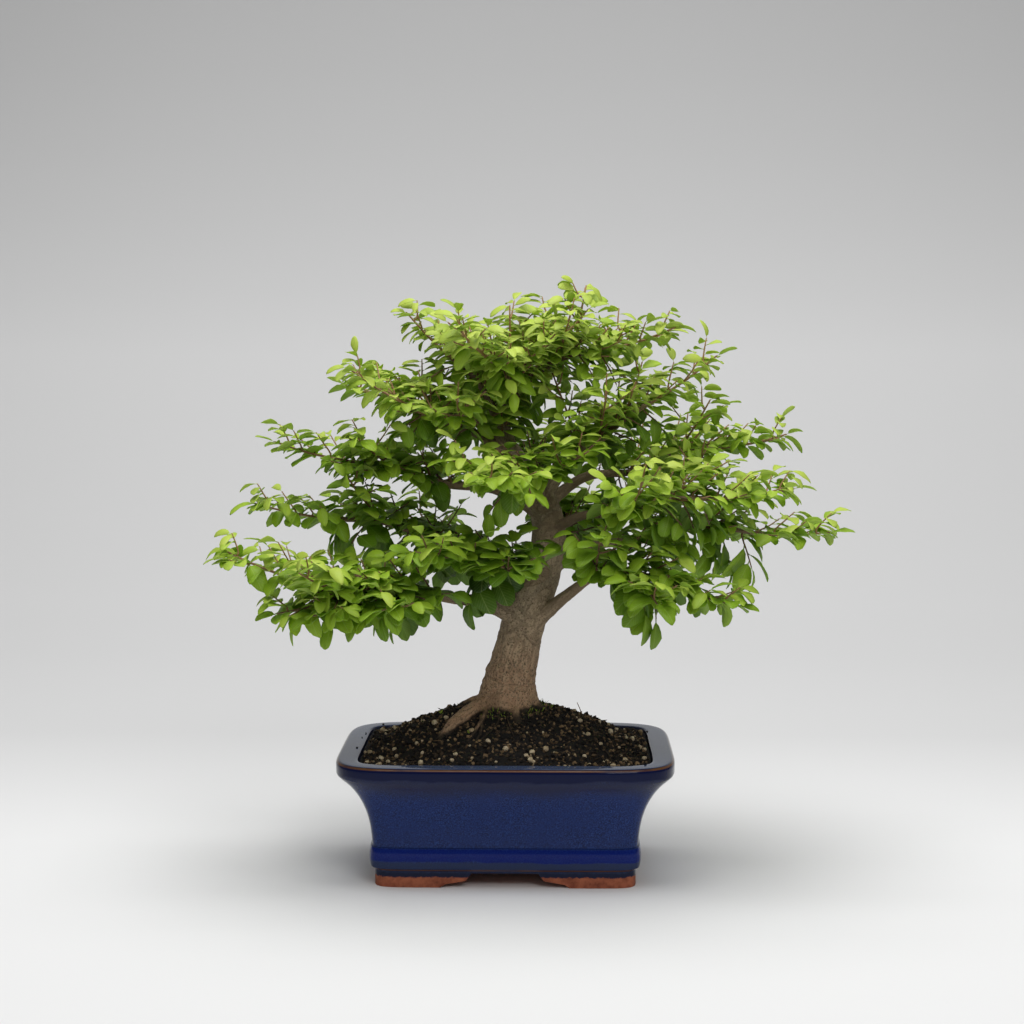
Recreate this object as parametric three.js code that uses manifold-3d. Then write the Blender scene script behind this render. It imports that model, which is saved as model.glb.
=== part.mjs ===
// A Chinese elm bonsai in its glazed pot: the fired pot on its four cut feet, two drain screens, the heaped
// soil, the woody tree (roots, trunk and limbs grown as one piece) and the leafy sprays that grow from it.
// Millimetres, +Z up. The side that the tree is looked at from faces -Y.

import * as THREE from "three";
import { mergeVertices } from "three/addons/utils/BufferGeometryUtils.js";
import Module from "manifold-3d";

const wasm = await Module();
wasm.setup();

// Pieces that touch on the real thing stand this far apart.
const CLEARANCE = 0.3;

// Pot: outside sizes at the lip. Insets are measured in from the lip, heights up from the ground.
const POT_WIDTH = 200;
const POT_DEPTH = 147;
const POT_HEIGHT = 75;
const LIP_BOTTOM = 66;
const LIP_TUCK = 1.5;
const LIP_ROUND = 2.5;
const MOUTH_INSET = 13.5;
const MOUTH_BEVEL = 1;
const WAIST_INSET = 21.3;
const WAIST_HEIGHT = 24.5;
// The wall's hollow flare from waist to lip, as a curve's four control points of inset and height
const WALL_CURVE = [[WAIST_INSET, WAIST_HEIGHT], [20.5, 40], [16, 53], [LIP_TUCK, LIP_BOTTOM]];
const BEAD_INSET = 20;
const BEAD_HEIGHTS = [12, 16, 20.5];
const FOOT_INSET = 22.8;
const FOOT_TOP = 9.5;
const FOOT_THICKNESS = 13;
const BASE_HEIGHT = 8.5;
const FLOOR_HEIGHT = 16;
const FLOOR_INSET = 30;
const FRONT_ARCH = 38;
const SIDE_ARCH = 27;
const ARCH_STEPS = [[0, -1], [0, 0], [3, 2], [15, 4], [18.5, BASE_HEIGHT]];
const DRAIN_RADIUS = 6;
const DRAINS = [-38, 38];
const POT_SEGMENTS = 32;
// The plan is a rectangle with bowed sides. A higher squareness gives straighter sides and tighter corners.
const RIM_SQUARENESS = 6;
const BASE_SQUARENESS = 13;
const MOUTH_SQUARENESS = 10;

// Drain screens: square plastic net over each drain hole
const SCREEN_SIDE = 20;
const SCREEN_THICKNESS = 1.2;
const SCREEN_HOLES = 3;
const SCREEN_HOLE_SIDE = 3.6;

// Soil: heaped from the lip up to the trunk, with pumice grains in its surface
const SOIL_EDGE = 73.5;
const SOIL_PEAK = 101.5;
const SOIL_SWELL = 1.75;
const SOIL_RINGS = 5;
const CRUMB_RELIEF = 1.1;
const GRAINS = 16;
const GRAIN_SPREAD = [0.38, 0.89];
const GRAIN_RADIUS = 2.1;
const GRAIN_SINK = 0.3;

// Tree: each route starts on the axis of what it grows from, and a girth is the radius along the route
const TRUNK = {
  route: [
    [0, 0, 80],
    [1, 0, 95],
    [1, 0, 106],
    [2, 0, 115],
    [4.5, 0, 125],
    [8, 0, 141],
    [12, 0, 157],
    [20, 2, 176],
    [24, 4, 191],
    [25.5, 5, 206],
    [21, 5, 222],
    [11, 3, 239],
    [1, 0, 253],
    [-4, 0, 268],
    [-1, 2, 282],
    [5, 4, 294],
    [11, 4, 305],
  ],
  girth: [20, 20, 18, 15.8, 14.3, 13.2, 13.2, 11.6, 10.6, 10, 9.4, 8.2, 7.4, 6, 4.6, 3.2, 1.8],
};
const BUTTRESSES = 5;
const BUTTRESS_SWELL = 0.1;
const BUTTRESS_SHARE = 0.12;
const TRUNK_SIDES = 10;
const ROOT_SIDES = 5;
const LIMB_SIDES = 6;

const ROOTS = [
  {
    route: [[-5, -3, 104], [-16, -13, 100], [-25, -25, 94], [-33, -35, 88], [-40, -42, 79]],
    girth: [6.5, 4.6, 3.8, 3, 1.8],
  },
  {
    route: [[-12, -10, 101], [-13, -24, 96.2], [-17, -34, 91.2], [-23, -42, 83.5]],
    girth: [2.4, 1.8, 1.5, 1],
  },
  { route: [[-6, 0, 102], [-23, 5, 98], [-36, 9, 90]], girth: [7, 4.2, 2.2] },
  { route: [[6, -1, 101], [22, -6, 96], [34, -10, 88]], girth: [7, 4, 2.2] },
  { route: [[2, -6, 101], [6, -22, 95], [10, -32, 87]], girth: [7, 3.8, 2] },
  { route: [[4, 6, 101], [14, 22, 95], [20, 32, 87]], girth: [7, 4, 2] },
  { route: [[-3, 6, 101], [-13, 22, 96], [-19, 32, 88]], girth: [7, 4, 2] },
];

// Limbs: rolls are the angles, in degrees from straight up, at which side sprays leave. One more spray ends
// each limb.
const LIMBS = [
  {
    name: "low_left",
    route: [
      [8, 0, 152],
      [-14, -12, 163],
      [-40, -27, 169],
      [-66, -33, 175],
      [-92, -42, 172],
      [-118, -40, 179],
    ],
    girth: [6, 1.6],
    rolls: [-114, 84, -78],
    reach: 46,
  },
  {
    name: "low_left_back",
    route: [[16, 2, 176], [-14, 16, 191], [-44, 30, 196], [-76, 30, 207], [-106, 24, 210]],
    girth: [4.4, 1.4],
    rolls: [82, -60],
    reach: 46,
  },
  {
    name: "inner_left",
    route: [[20, 2, 180], [0, -18, 190], [-20, -38, 192]],
    girth: [3.4, 1.3],
    rolls: [-105],
    reach: 40,
  },
  {
    name: "low_right",
    route: [[13, 0, 146], [36, -14, 168], [58, -24, 183], [78, -34, 184], [94, -40, 178]],
    girth: [5.6, 1.3],
    rolls: [72, -74, 105],
    reach: 42,
  },
  {
    name: "low_right_back",
    route: [[23, 3, 180], [50, 14, 194], [84, 28, 197], [118, 32, 205], [150, 26, 202]],
    girth: [5, 1.4],
    rolls: [-82, 60],
    reach: 44,
  },
  {
    name: "right_front",
    route: [[25, 4, 204], [45, -18, 216], [72, -38, 219], [98, -42, 228], [122, -38, 228]],
    girth: [4, 1.3],
    rolls: [74, -60],
    reach: 44,
  },
  {
    name: "left_mid",
    route: [[22, 5, 216], [-8, 8, 230], [-38, 18, 232], [-68, 16, 242], [-94, 12, 246]],
    girth: [5.4, 1.5],
    rolls: [82, -76],
    reach: 44,
  },
  {
    name: "right_limb",
    route: [[20, 5, 224], [38, -5, 248], [56, -13, 261], [72, -14, 275], [86, -12, 283]],
    girth: [5.8, 1.6],
    rolls: [72, -68],
    reach: 42,
  },
  {
    name: "right_back",
    route: [[22, 6, 220], [48, 26, 236], [78, 46, 238], [106, 52, 250], [126, 46, 252]],
    girth: [4.4, 1.4],
    rolls: [-80, 55],
    reach: 44,
  },
  {
    name: "left_upper",
    route: [[4, 1, 248], [-18, -8, 264], [-38, -18, 271], [-56, -16, 280]],
    girth: [4.6, 1.4],
    rolls: [-76, 68],
    reach: 40,
  },
  {
    name: "left_back",
    route: [[0, 0, 254], [-18, 24, 268], [-40, 44, 276], [-62, 54, 280]],
    girth: [4, 1.3],
    rolls: [78, -74],
    reach: 40,
  },
  {
    name: "front",
    route: [[21, 4, 222], [18, -28, 240], [6, -58, 240]],
    girth: [3.8, 1.2],
    rolls: [-80, 80],
    reach: 40,
  },
  {
    name: "back",
    route: [[16, 5, 230], [16, 34, 246], [6, 62, 248]],
    girth: [4, 1.3],
    rolls: [78],
    reach: 40,
  },
  {
    name: "low_back",
    route: [[24, 5, 194], [38, 36, 206], [44, 66, 206]],
    girth: [4.2, 1.3],
    rolls: [-78, 78],
    reach: 40,
  },
  {
    name: "crown_left",
    route: [[-4, 1, 270], [-18, -6, 296], [-32, -4, 308]],
    girth: [3.4, 1.2],
    rolls: [70],
    reach: 34,
  },
  {
    name: "crown_front",
    route: [[-1, 2, 276], [2, -24, 300], [-8, -42, 308]],
    girth: [3.2, 1.2],
    rolls: [-72, 60],
    reach: 34,
  },
  {
    name: "crown_right",
    route: [[3, 4, 286], [32, -6, 308], [60, -12, 314]],
    girth: [3.2, 1.2],
    rolls: [66, -75],
    reach: 38,
  },
  {
    name: "crown_back",
    route: [[5, 4, 292], [22, 30, 306], [30, 46, 312]],
    girth: [3, 1.2],
    rolls: [-70],
    reach: 34,
  },
];
const LEADER = { name: "crown_top", ...TRUNK, rolls: [-80, 78], reach: 34, leafy: [0.84, 0.97] };

// Sprays: side sprays leave the leafy stretch of a limb, given as shares of its length
const LEAFY = [0.38, 0.9];
const SPRAY_ANGLE = 56;
const SPRAY_ROLLS = [15, 55];
const SEAT_STEP = 0.1;
const LEAVES = 10;
const LEAF_LENGTH = 20;
const LEAF_WIDTH = 13.5;
const LEAF_THICKNESS = 1.2;
const LEAF_FOLD = 0.25;
const LEAF_ARCH = 0.12;
const LEAF_TRIES = 6;
const TOUCH = 1e-3;
const STEM_GIRTH = [1.1, 0.8];
const STEM_FOOT = 2;
const BARE_STEM = 0.16;
const SPRAY_LIFT = 0.12;

const POT_GLAZE = new THREE.MeshStandardMaterial({ color: 0x17275c, roughness: 0.22 });
const SOIL = new THREE.MeshStandardMaterial({ color: 0x2a1e16, roughness: 0.95 });
const NET = new THREE.MeshStandardMaterial({ color: 0x14171a, roughness: 0.6 });
const BARK = new THREE.MeshStandardMaterial({ color: 0x6f5f4e, roughness: 0.9 });
const FOLIAGE = new THREE.MeshStandardMaterial({ color: 0x6fa52a, roughness: 0.55 });

// Solids and meshes

const UP = new THREE.Vector3(0, 0, 1);
const vector = (p) => new THREE.Vector3(...p);
const radians = THREE.MathUtils.degToRad;
const mix = THREE.MathUtils.lerp;

function merged(geometry) {
  geometry.deleteAttribute("normal");
  geometry.deleteAttribute("uv");
  return mergeVertices(geometry, 1e-4);
}

function solidOf(geometry) {
  const { attributes, index } = merged(geometry);
  const vertProperties = attributes.position.array;
  const triVerts = new Uint32Array(index.array);
  return new wasm.Manifold(new wasm.Mesh({ numProp: 3, vertProperties, triVerts }));
}

function meshOf(solid, name, material) {
  const { vertProperties, triVerts } = solid.getMesh();
  const geometry = new THREE.BufferGeometry();
  geometry.setAttribute("position", new THREE.BufferAttribute(vertProperties, 3));
  geometry.setIndex(new THREE.BufferAttribute(triVerts, 1));
  const mesh = new THREE.Mesh(geometry, material);
  mesh.name = name;
  return mesh;
}

const join = (solids) => wasm.Manifold.union(solids);
const cut = (solid, tools) => tools.reduce((rest, tool) => rest.subtract(tool), solid);

function reshape(geometry, move) {
  const position = geometry.attributes.position;
  const point = new THREE.Vector3();
  for (let i = 0; i < position.count; i++) {
    point.fromBufferAttribute(position, i);
    const moved = move(point);
    position.setXYZ(i, moved.x, moved.y, moved.z);
  }
  return geometry;
}

// A solid of plan rings stacked in the order given, closed over its own middle at both ends. A ring's share
// shrinks it toward the middle, and its height may be a formula of x and y.
function ringSolid(rings, segments) {
  const stack = [rings[0], ...rings, rings.at(-1)];
  const profile = stack.map((_, i) => new THREE.Vector2(i > 0 && i < stack.length - 1 ? 1 : 0, i));
  const lathe = merged(new THREE.LatheGeometry(profile, segments));
  reshape(lathe, (p) => {
    const { inset, height, squareness, share = 1 } = stack[Math.round(p.y)];
    const angle = Math.atan2(p.x, p.z);
    const scale = Math.hypot(p.x, p.z) < 0.5 ? 0 : share;
    const bend = (v) => scale * Math.sign(v) * Math.abs(v) ** (2 / squareness);
    const x = (POT_WIDTH / 2 - inset) * bend(Math.cos(angle));
    const y = (POT_DEPTH / 2 - inset) * bend(Math.sin(angle));
    return new THREE.Vector3(x, y, typeof height === "function" ? height(x, y) : height);
  });
  return solidOf(lathe);
}

// Pot

const ring = (inset, height, squareness, share) => ({ inset, height, squareness, share });

// The inset of the pot's sloping inner wall at a height.
function wallInset(height) {
  const mouthHeight = POT_HEIGHT - MOUTH_BEVEL;
  return THREE.MathUtils.mapLinear(height, FLOOR_HEIGHT, mouthHeight, FLOOR_INSET, MOUTH_INSET);
}

// What opens the gap between two feet: a low slope, then a steep step up to the base.
function archCut(halfSpan, length) {
  const right = ARCH_STEPS.map(([inward, height]) => [halfSpan - inward, height]);
  const left = right.map(([across, height]) => [-across, height]).reverse();
  const shape = new THREE.Shape([...right, ...left].map(([x, y]) => new THREE.Vector2(x, y)));
  const bar = new THREE.ExtrudeGeometry(shape, { depth: length, bevelEnabled: false });
  return bar.translate(0, 0, -length / 2).rotateX(Math.PI / 2);
}

function makePot() {
  const [beadLow, beadMiddle, beadHigh] = BEAD_HEIGHTS;
  const base = [
    ring(FOOT_INSET, 0, BASE_SQUARENESS),
    ring(FOOT_INSET, FOOT_TOP, BASE_SQUARENESS),
    ring(BEAD_INSET + 1, beadLow, BASE_SQUARENESS),
    ring(BEAD_INSET, beadMiddle, BASE_SQUARENESS),
    ring(BEAD_INSET, beadHigh, BASE_SQUARENESS),
  ];
  const flare = new THREE.CubicBezierCurve(...WALL_CURVE.map((p) => new THREE.Vector2(...p)));
  const wall = flare.getPoints(5).map(({ x, y }) => {
    const share = THREE.MathUtils.smoothstep(y, WAIST_HEIGHT, LIP_BOTTOM);
    return ring(x, y, mix(BASE_SQUARENESS, RIM_SQUARENESS, share));
  });
  const lip = [
    ring(0, LIP_BOTTOM + LIP_TUCK, RIM_SQUARENESS),
    ring(0, POT_HEIGHT - LIP_ROUND, RIM_SQUARENESS),
    ring(LIP_ROUND, POT_HEIGHT, RIM_SQUARENESS),
    ring(MOUTH_INSET - MOUTH_BEVEL, POT_HEIGHT, MOUTH_SQUARENESS),
    ring(MOUTH_INSET, POT_HEIGHT - MOUTH_BEVEL, MOUTH_SQUARENESS),
  ];
  const floor = ring(FLOOR_INSET, FLOOR_HEIGHT, MOUTH_SQUARENESS);
  const body = ringSolid([...base, ...wall, ...lip, floor], POT_SEGMENTS);

  const recessInset = FOOT_INSET + FOOT_THICKNESS;
  const recess = [-1, BASE_HEIGHT].map((height) => ring(recessInset, height, MOUTH_SQUARENESS));
  const drains = DRAINS.map((x) => {
    const drain = new THREE.CylinderGeometry(DRAIN_RADIUS, DRAIN_RADIUS, 2 * FLOOR_HEIGHT, 16);
    return drain.rotateX(Math.PI / 2).translate(x, 0, FLOOR_HEIGHT);
  });
  const frontArch = archCut(FRONT_ARCH, 2 * POT_DEPTH);
  const sideArch = archCut(SIDE_ARCH, 2 * POT_WIDTH).rotateZ(Math.PI / 2);
  return cut(body, [ringSolid(recess, POT_SEGMENTS / 2), ...[frontArch, sideArch, ...drains].map(solidOf)]);
}

// Drain screens

function makeScreen(x) {
  const z = FLOOR_HEIGHT + SCREEN_THICKNESS / 2;
  const pitch = SCREEN_SIDE / SCREEN_HOLES;
  const plate = new THREE.BoxGeometry(SCREEN_SIDE, SCREEN_SIDE, SCREEN_THICKNESS).translate(x, 0, z);
  const holes = [];
  for (let row = 0; row < SCREEN_HOLES; row++) {
    for (let column = 0; column < SCREEN_HOLES; column++) {
      const hole = new THREE.BoxGeometry(SCREEN_HOLE_SIDE, SCREEN_HOLE_SIDE, 3 * SCREEN_THICKNESS);
      const [across, back] = [column, row].map((k) => (k - (SCREEN_HOLES - 1) / 2) * pitch);
      holes.push(solidOf(hole.translate(x + across, back, z)));
    }
  }
  return cut(solidOf(plate), holes);
}

// The room that a drain screen needs in the soil above it.
function screenRoom(x) {
  const side = SCREEN_SIDE + 2 * CLEARANCE;
  const high = SCREEN_THICKNESS + CLEARANCE;
  return solidOf(new THREE.BoxGeometry(side, side, high).translate(x, 0, FLOOR_HEIGHT + high / 2));
}

// Soil

// The heap's height over a point of the plan, without its crumbs.
function heapAt(x, y) {
  const out = Math.hypot(x / (POT_WIDTH / 2 - MOUTH_INSET), y / (POT_DEPTH / 2 - MOUTH_INSET));
  return mix(SOIL_PEAK, SOIL_EDGE, Math.min(out, 1) ** SOIL_SWELL);
}

function crumbledAt(x, y) {
  return heapAt(x, y) + CRUMB_RELIEF * Math.sin(1.7 * x + 0.6 * y) * Math.cos(1.3 * y - 0.8 * x);
}

function makeSoil() {
  const shoulder = SOIL_EDGE - 1.2 * CRUMB_RELIEF;
  const inset = wallInset(shoulder) + CLEARANCE;
  const rings = [
    ring(wallInset(FLOOR_HEIGHT) + CLEARANCE, FLOOR_HEIGHT + CLEARANCE, MOUTH_SQUARENESS),
    ring(inset, shoulder, MOUTH_SQUARENESS),
  ];
  for (let i = 0; i <= SOIL_RINGS; i++) {
    const share = 1 - i / (SOIL_RINGS + 1);
    rings.push(ring(inset, crumbledAt, mix(2, MOUTH_SQUARENESS, share ** 2), share));
  }
  return join([ringSolid(rings, POT_SEGMENTS), ...makeGrains()]);
}

// Pumice grains, spread over the heap in a spiral like the seeds of a sunflower.
function makeGrains() {
  const turn = Math.PI * (3 - Math.sqrt(5));
  return Array.from({ length: GRAINS }, (_, i) => {
    const out = mix(...GRAIN_SPREAD, Math.sqrt((i + 0.5) / GRAINS));
    const x = out * (POT_WIDTH / 2 - MOUTH_INSET) * Math.cos(i * turn);
    const y = out * (POT_DEPTH / 2 - MOUTH_INSET) * Math.sin(i * turn);
    const grain = new THREE.OctahedronGeometry(GRAIN_RADIUS * (0.8 + 0.4 * ((i * 0.618) % 1)));
    return solidOf(grain.rotateX(i).rotateY(i).translate(x, y, heapAt(x, y) - GRAIN_SINK));
  });
}

// Wood

// The radius at a share of a route, between the radii given along it.
function girthAt(girth, share) {
  const at = share * (girth.length - 1);
  const i = Math.min(Math.floor(at), girth.length - 2);
  return mix(girth[i], girth[i + 1], at - i);
}

// A tapered tube along a smooth curve: a cylinder whose rings are carried along it without twisting. Its
// extra radius is what a hole for it needs, and its swell is a factor by share and angle.
function taperedTube({ route, girth }, sides, steps, extra = 0, swell = () => 1) {
  const curve = new THREE.CatmullRomCurve3(route.map(vector));
  const across = new THREE.Vector3(0, 1, 0.2);
  const frames = [];
  for (let k = 0; k <= steps; k++) {
    const tangent = curve.getTangent(k / steps);
    across.addScaledVector(tangent, -across.dot(tangent)).normalize();
    const beside = tangent.clone().cross(across);
    frames.push({ centre: curve.getPoint(k / steps), across: across.clone(), beside });
  }
  const tube = merged(new THREE.CylinderGeometry(1, 1, 1, sides, steps));
  reshape(tube, (p) => {
    const share = 0.5 - p.y;
    const angle = Math.atan2(p.z, p.x);
    const frame = frames[Math.round(share * steps)];
    const radius = Math.hypot(p.x, p.z) * (girthAt(girth, share) * swell(share, angle) + extra);
    return frame.centre
      .clone()
      .addScaledVector(frame.across, radius * Math.cos(angle))
      .addScaledVector(frame.beside, radius * Math.sin(angle));
  });
  return solidOf(tube);
}

// The trunk and its surface roots, grown by a clearance where they stand for their hole in the soil.
function makeFoot(extra = 0) {
  const swell = (share, angle) => {
    const low = Math.max(0, 1 - share / BUTTRESS_SHARE);
    return 1 + BUTTRESS_SWELL * low * Math.cos(BUTTRESSES * angle);
  };
  const trunk = taperedTube(TRUNK, TRUNK_SIDES, 2 * TRUNK_SIDES, extra, swell);
  return join([trunk, ...ROOTS.map((root) => taperedTube(root, ROOT_SIDES, root.route.length, extra))]);
}

function makeWood() {
  return join([makeFoot(), ...LIMBS.map((limb) => taperedTube(limb, LIMB_SIDES, limb.route.length))]);
}

// Sprays

THREE.MathUtils.seededRandom(11);
const draw = (low, high) => mix(low, high, THREE.MathUtils.seededRandom());

// Every solid placed so far. What is added must clear them all, but a leaf may touch the stem that it grows
// from.
const placed = [];

function place(solid) {
  placed.push({ solid, box: solid.boundingBox() });
}

function boxesMeet(a, b) {
  return [0, 1, 2].every((i) => a.min[i] < b.max[i] && b.min[i] < a.max[i]);
}

function isClear(solid, stem) {
  const box = solid.boundingBox();
  return placed.every(
    (other) =>
      other.solid === stem || !boxesMeet(box, other.box) || solid.intersect(other.solid).isEmpty(),
  );
}

// Where a spray leaves a limb: a point just under the bark, the way straight out, and the spray's heading.
function sideRoot({ route, girth }, along, roll) {
  const curve = new THREE.CatmullRomCurve3(route.map(vector));
  const tangent = curve.getTangent(along);
  const up = UP.clone().addScaledVector(tangent, -tangent.z).normalize();
  const outward = up.applyAxisAngle(tangent, radians(roll));
  const open = radians(SPRAY_ANGLE);
  const heading = tangent.clone().multiplyScalar(Math.cos(open)).addScaledVector(outward, Math.sin(open));
  const start = curve.getPoint(along).addScaledVector(outward, 0.5 * girthAt(girth, along));
  return { start, outward, heading };
}

// The spray that ends a limb carries straight on from it.
function endRoot({ route }) {
  const curve = new THREE.CatmullRomCurve3(route.map(vector));
  const tangent = curve.getTangent(1);
  const start = curve.getPoint(1).addScaledVector(tangent, CLEARANCE);
  return { start, outward: tangent, heading: tangent };
}

// A spray's stem leaves the bark squarely, bends to its heading and lifts toward its tip. Its section is a
// triangle with a ridge on top, and leaves grow from its two upper faces.
function stemRings({ start, outward, heading }, reach, face, extra = 0) {
  const at = (share) =>
    start
      .clone()
      .addScaledVector(outward, 1.5 * STEM_FOOT)
      .addScaledVector(heading, reach * share)
      .addScaledVector(UP, SPRAY_LIFT * reach * share * share);
  const foot = start.clone().addScaledVector(outward, STEM_FOOT);
  const curve = new THREE.CatmullRomCurve3([start, foot, at(0.5), at(1)]);
  return Array.from({ length: LEAVES + 1 }, (_, k) => {
    const share = k ? mix(BARE_STEM, 1, (k - 1) / (LEAVES - 1)) : 0;
    const tangent = curve.getTangent(share);
    const over = face.clone().addScaledVector(tangent, -face.dot(tangent)).normalize();
    const beside = tangent.clone().cross(over);
    const centre = curve.getPoint(share).addScaledVector(tangent, k ? 0 : -extra);
    const radius = mix(...STEM_GIRTH, share) + 2 * extra;
    const corners = [0, 120, 240].map((angle) => {
      const spoke = over.clone().applyAxisAngle(tangent, radians(angle));
      return spoke.multiplyScalar(radius).add(centre);
    });
    return { corners, tangent, over, beside };
  });
}

// A leaf's outline, from one side of its foot round the tip to the other side, as shares of its length and
// width. Each side has one deep tooth.
const LEAF_EDGE = [
  [0.3, -0.38],
  [0.66, -0.48],
  [0.71, -0.37],
  [1, 0],
  [0.71, 0.37],
  [0.66, 0.48],
  [0.3, 0.38],
];

function leafPoints(foot, heading, normal, size, extra = 0) {
  const beside = heading.clone().cross(normal).normalize();
  const over = beside.clone().cross(heading);
  const length = LEAF_LENGTH * size;
  const width = LEAF_WIDTH * size;
  const at = (along, across, lift) =>
    foot
      .clone()
      .addScaledVector(heading, along * length)
      .addScaledVector(beside, across * width)
      .addScaledVector(over, lift + LEAF_FOLD * Math.abs(across) * width)
      .addScaledVector(over, -LEAF_ARCH * along * along * length);
  const edge = LEAF_EDGE.map(([along, across]) =>
    at(along + extra / length, across + (Math.sign(across) * extra) / width, 0),
  );
  const half = LEAF_THICKNESS / 2 + extra;
  return { edge, top: at(0.45, 0, half), under: at(0.45, 0, -half) };
}

const ray = new THREE.Ray();
const hit = new THREE.Vector3();

// Whether an edge of one triangle passes through another triangle.
function pierces(triangle, other) {
  return triangle.some((from, i) => {
    const to = triangle[(i + 1) % 3];
    ray.set(from, to.clone().sub(from).normalize());
    if (!ray.intersectTriangle(...other, false, hit)) return false;
    return Math.min(hit.distanceTo(from), from.distanceTo(to) - hit.distanceTo(from)) > TOUCH;
  });
}

// A closed skin, built up from corner points and the faces between them.
class Skin {
  points = [];
  faces = [];

  add(point) {
    return this.points.push(point) - 1;
  }

  face(...corners) {
    for (let i = 2; i < corners.length; i++) {
      this.faces.push([corners[0], corners[i - 1], corners[i]]);
    }
  }

  // A leaf in place of the face between four corners of a stem: two above, then two below.
  leaf([nearTop, farTop, farUnder, nearUnder], { edge, top, under }) {
    const rim = edge.map((point) => this.add(point));
    const [crown, belly] = [this.add(top), this.add(under)];
    const upper = [nearTop, ...rim, farTop];
    const lower = [nearUnder, ...rim, farUnder];
    upper.forEach((corner, i) => this.face(crown, upper[(i + 1) % upper.length], corner));
    lower.forEach((corner, i) => this.face(belly, corner, lower[(i + 1) % lower.length]));
    this.face(farTop, farUnder, rim.at(-1));
    this.face(nearUnder, nearTop, rim[0]);
  }

  triangles() {
    return this.faces.filter(([a, b, c]) => a !== b && b !== c && c !== a);
  }

  // Whether two of its faces cross. Faces that share an edge can't.
  crossesItself() {
    const faces = this.triangles().map((ids) => {
      const corners = ids.map((id) => this.points[id]);
      return { ids, corners, box: new THREE.Box3().setFromPoints(corners) };
    });
    const cross = (a, b) =>
      a.box.intersectsBox(b.box) &&
      a.ids.filter((id) => b.ids.includes(id)).length < 2 &&
      (pierces(a.corners, b.corners) || pierces(b.corners, a.corners));
    return faces.some((face, i) => faces.slice(0, i).some((other) => cross(face, other)));
  }

  solid() {
    const vertProperties = new Float32Array(this.points.flatMap((p) => p.toArray()));
    const triVerts = new Uint32Array(this.triangles().flat());
    return new wasm.Manifold(new wasm.Mesh({ numProp: 3, vertProperties, triVerts }));
  }
}

// The four corners of a stem's side face between two rings, or of its end, in the order that a leaf takes
// them.
function faceCorners(k, side) {
  const [here, next] = [3 * (k - 1), 3 * k];
  if (side > 0) return [next, here, here + 1, next + 1];
  if (side < 0) return [here, next, next + 2, here + 2];
  return [here, here, here + 1, here + 2];
}

function stemSkin(rings, leaves = new Map()) {
  const skin = new Skin();
  rings.forEach(({ corners }) => corners.forEach((corner) => skin.add(corner)));
  skin.face(0, 2, 1);
  for (let k = 1; k < rings.length; k++) {
    const [here, next] = [3 * (k - 1), 3 * k];
    skin.face(next + 1, here + 1, here + 2, next + 2);
    for (const side of [1, -1]) {
      const leaf = leaves.get(side * k);
      if (leaf) skin.leaf(faceCorners(k, side), leaf);
      else skin.face(...faceCorners(k, side));
    }
  }
  const end = faceCorners(rings.length, 0);
  if (leaves.has(0)) skin.leaf(end, leaves.get(0));
  else skin.face(...end.slice(1));
  return skin;
}

// A leaf's own closed solid, on the corners of the stem's face that it grows from.
function leafSolid(corners, leaf) {
  const skin = new Skin();
  const foot = corners.map((corner) => skin.add(corner));
  skin.leaf(foot, leaf);
  skin.face(...foot.toReversed());
  return skin.solid();
}

// Leaves stand in two rows along a stem, each overlapping the next like a tile, and one ends it. A leaf takes
// the first of a few tries that clears everything placed so far and whose faces don't cross the spray's own.
function growLeaves({ rings, stem }) {
  const leaves = new Map();
  for (let k = 2; k <= rings.length; k++) {
    const isLast = k === rings.length;
    const side = isLast ? 0 : k % 2 ? 1 : -1;
    const { tangent, over, beside } = rings[k - 1];
    const corners = faceCorners(k, side).map((i) => rings[Math.floor(i / 3)].corners[i % 3]);
    const foot = corners.reduce((sum, corner) => sum.add(corner), new THREE.Vector3()).divideScalar(4);
    for (let attempt = 0; attempt < LEAF_TRIES; attempt++) {
      const open = radians(isLast ? draw(-15, 15) : side * draw(44, 66));
      const heading = tangent
        .clone()
        .multiplyScalar(Math.cos(open))
        .addScaledVector(beside, Math.sin(open))
        .addScaledVector(over, draw(-0.3, 0.4))
        .normalize();
      const normal = over
        .clone()
        .addScaledVector(tangent, draw(-0.6, -0.1))
        .addScaledVector(beside, draw(-0.4, 0.4));
      const size = draw(0.8, 1.05) * (1 - (0.25 * k) / rings.length);
      const grown = leafPoints(foot, heading, normal, size, CLEARANCE);
      if (!isClear(leafSolid(corners, grown), stem)) continue;
      const leaf = leafPoints(foot, heading, normal, size);
      if (stemSkin(rings, new Map([...leaves, [side * k, leaf]])).crossesItself()) continue;
      leaves.set(side * k, leaf);
      place(leafSolid(corners, leaf));
      break;
    }
  }
  return leaves;
}

// A spray's stem is moved out of its limb until it clears the bark. The plane of the leaves rolls to one side
// and the other in turn.
function seatStem(spray, i) {
  const { root, reach } = spray;
  const roll = (i % 2 ? 1 : -1) * draw(...SPRAY_ROLLS);
  const face = UP.clone().applyAxisAngle(root.heading, radians(roll));
  while (!isClear(stemSkin(stemRings(root, reach, face, CLEARANCE / 2)).solid())) {
    root.start.addScaledVector(root.outward, SEAT_STEP);
  }
  spray.rings = stemRings(root, reach, face);
  spray.stem = stemSkin(spray.rings).solid();
  place(spray.stem);
}

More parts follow.
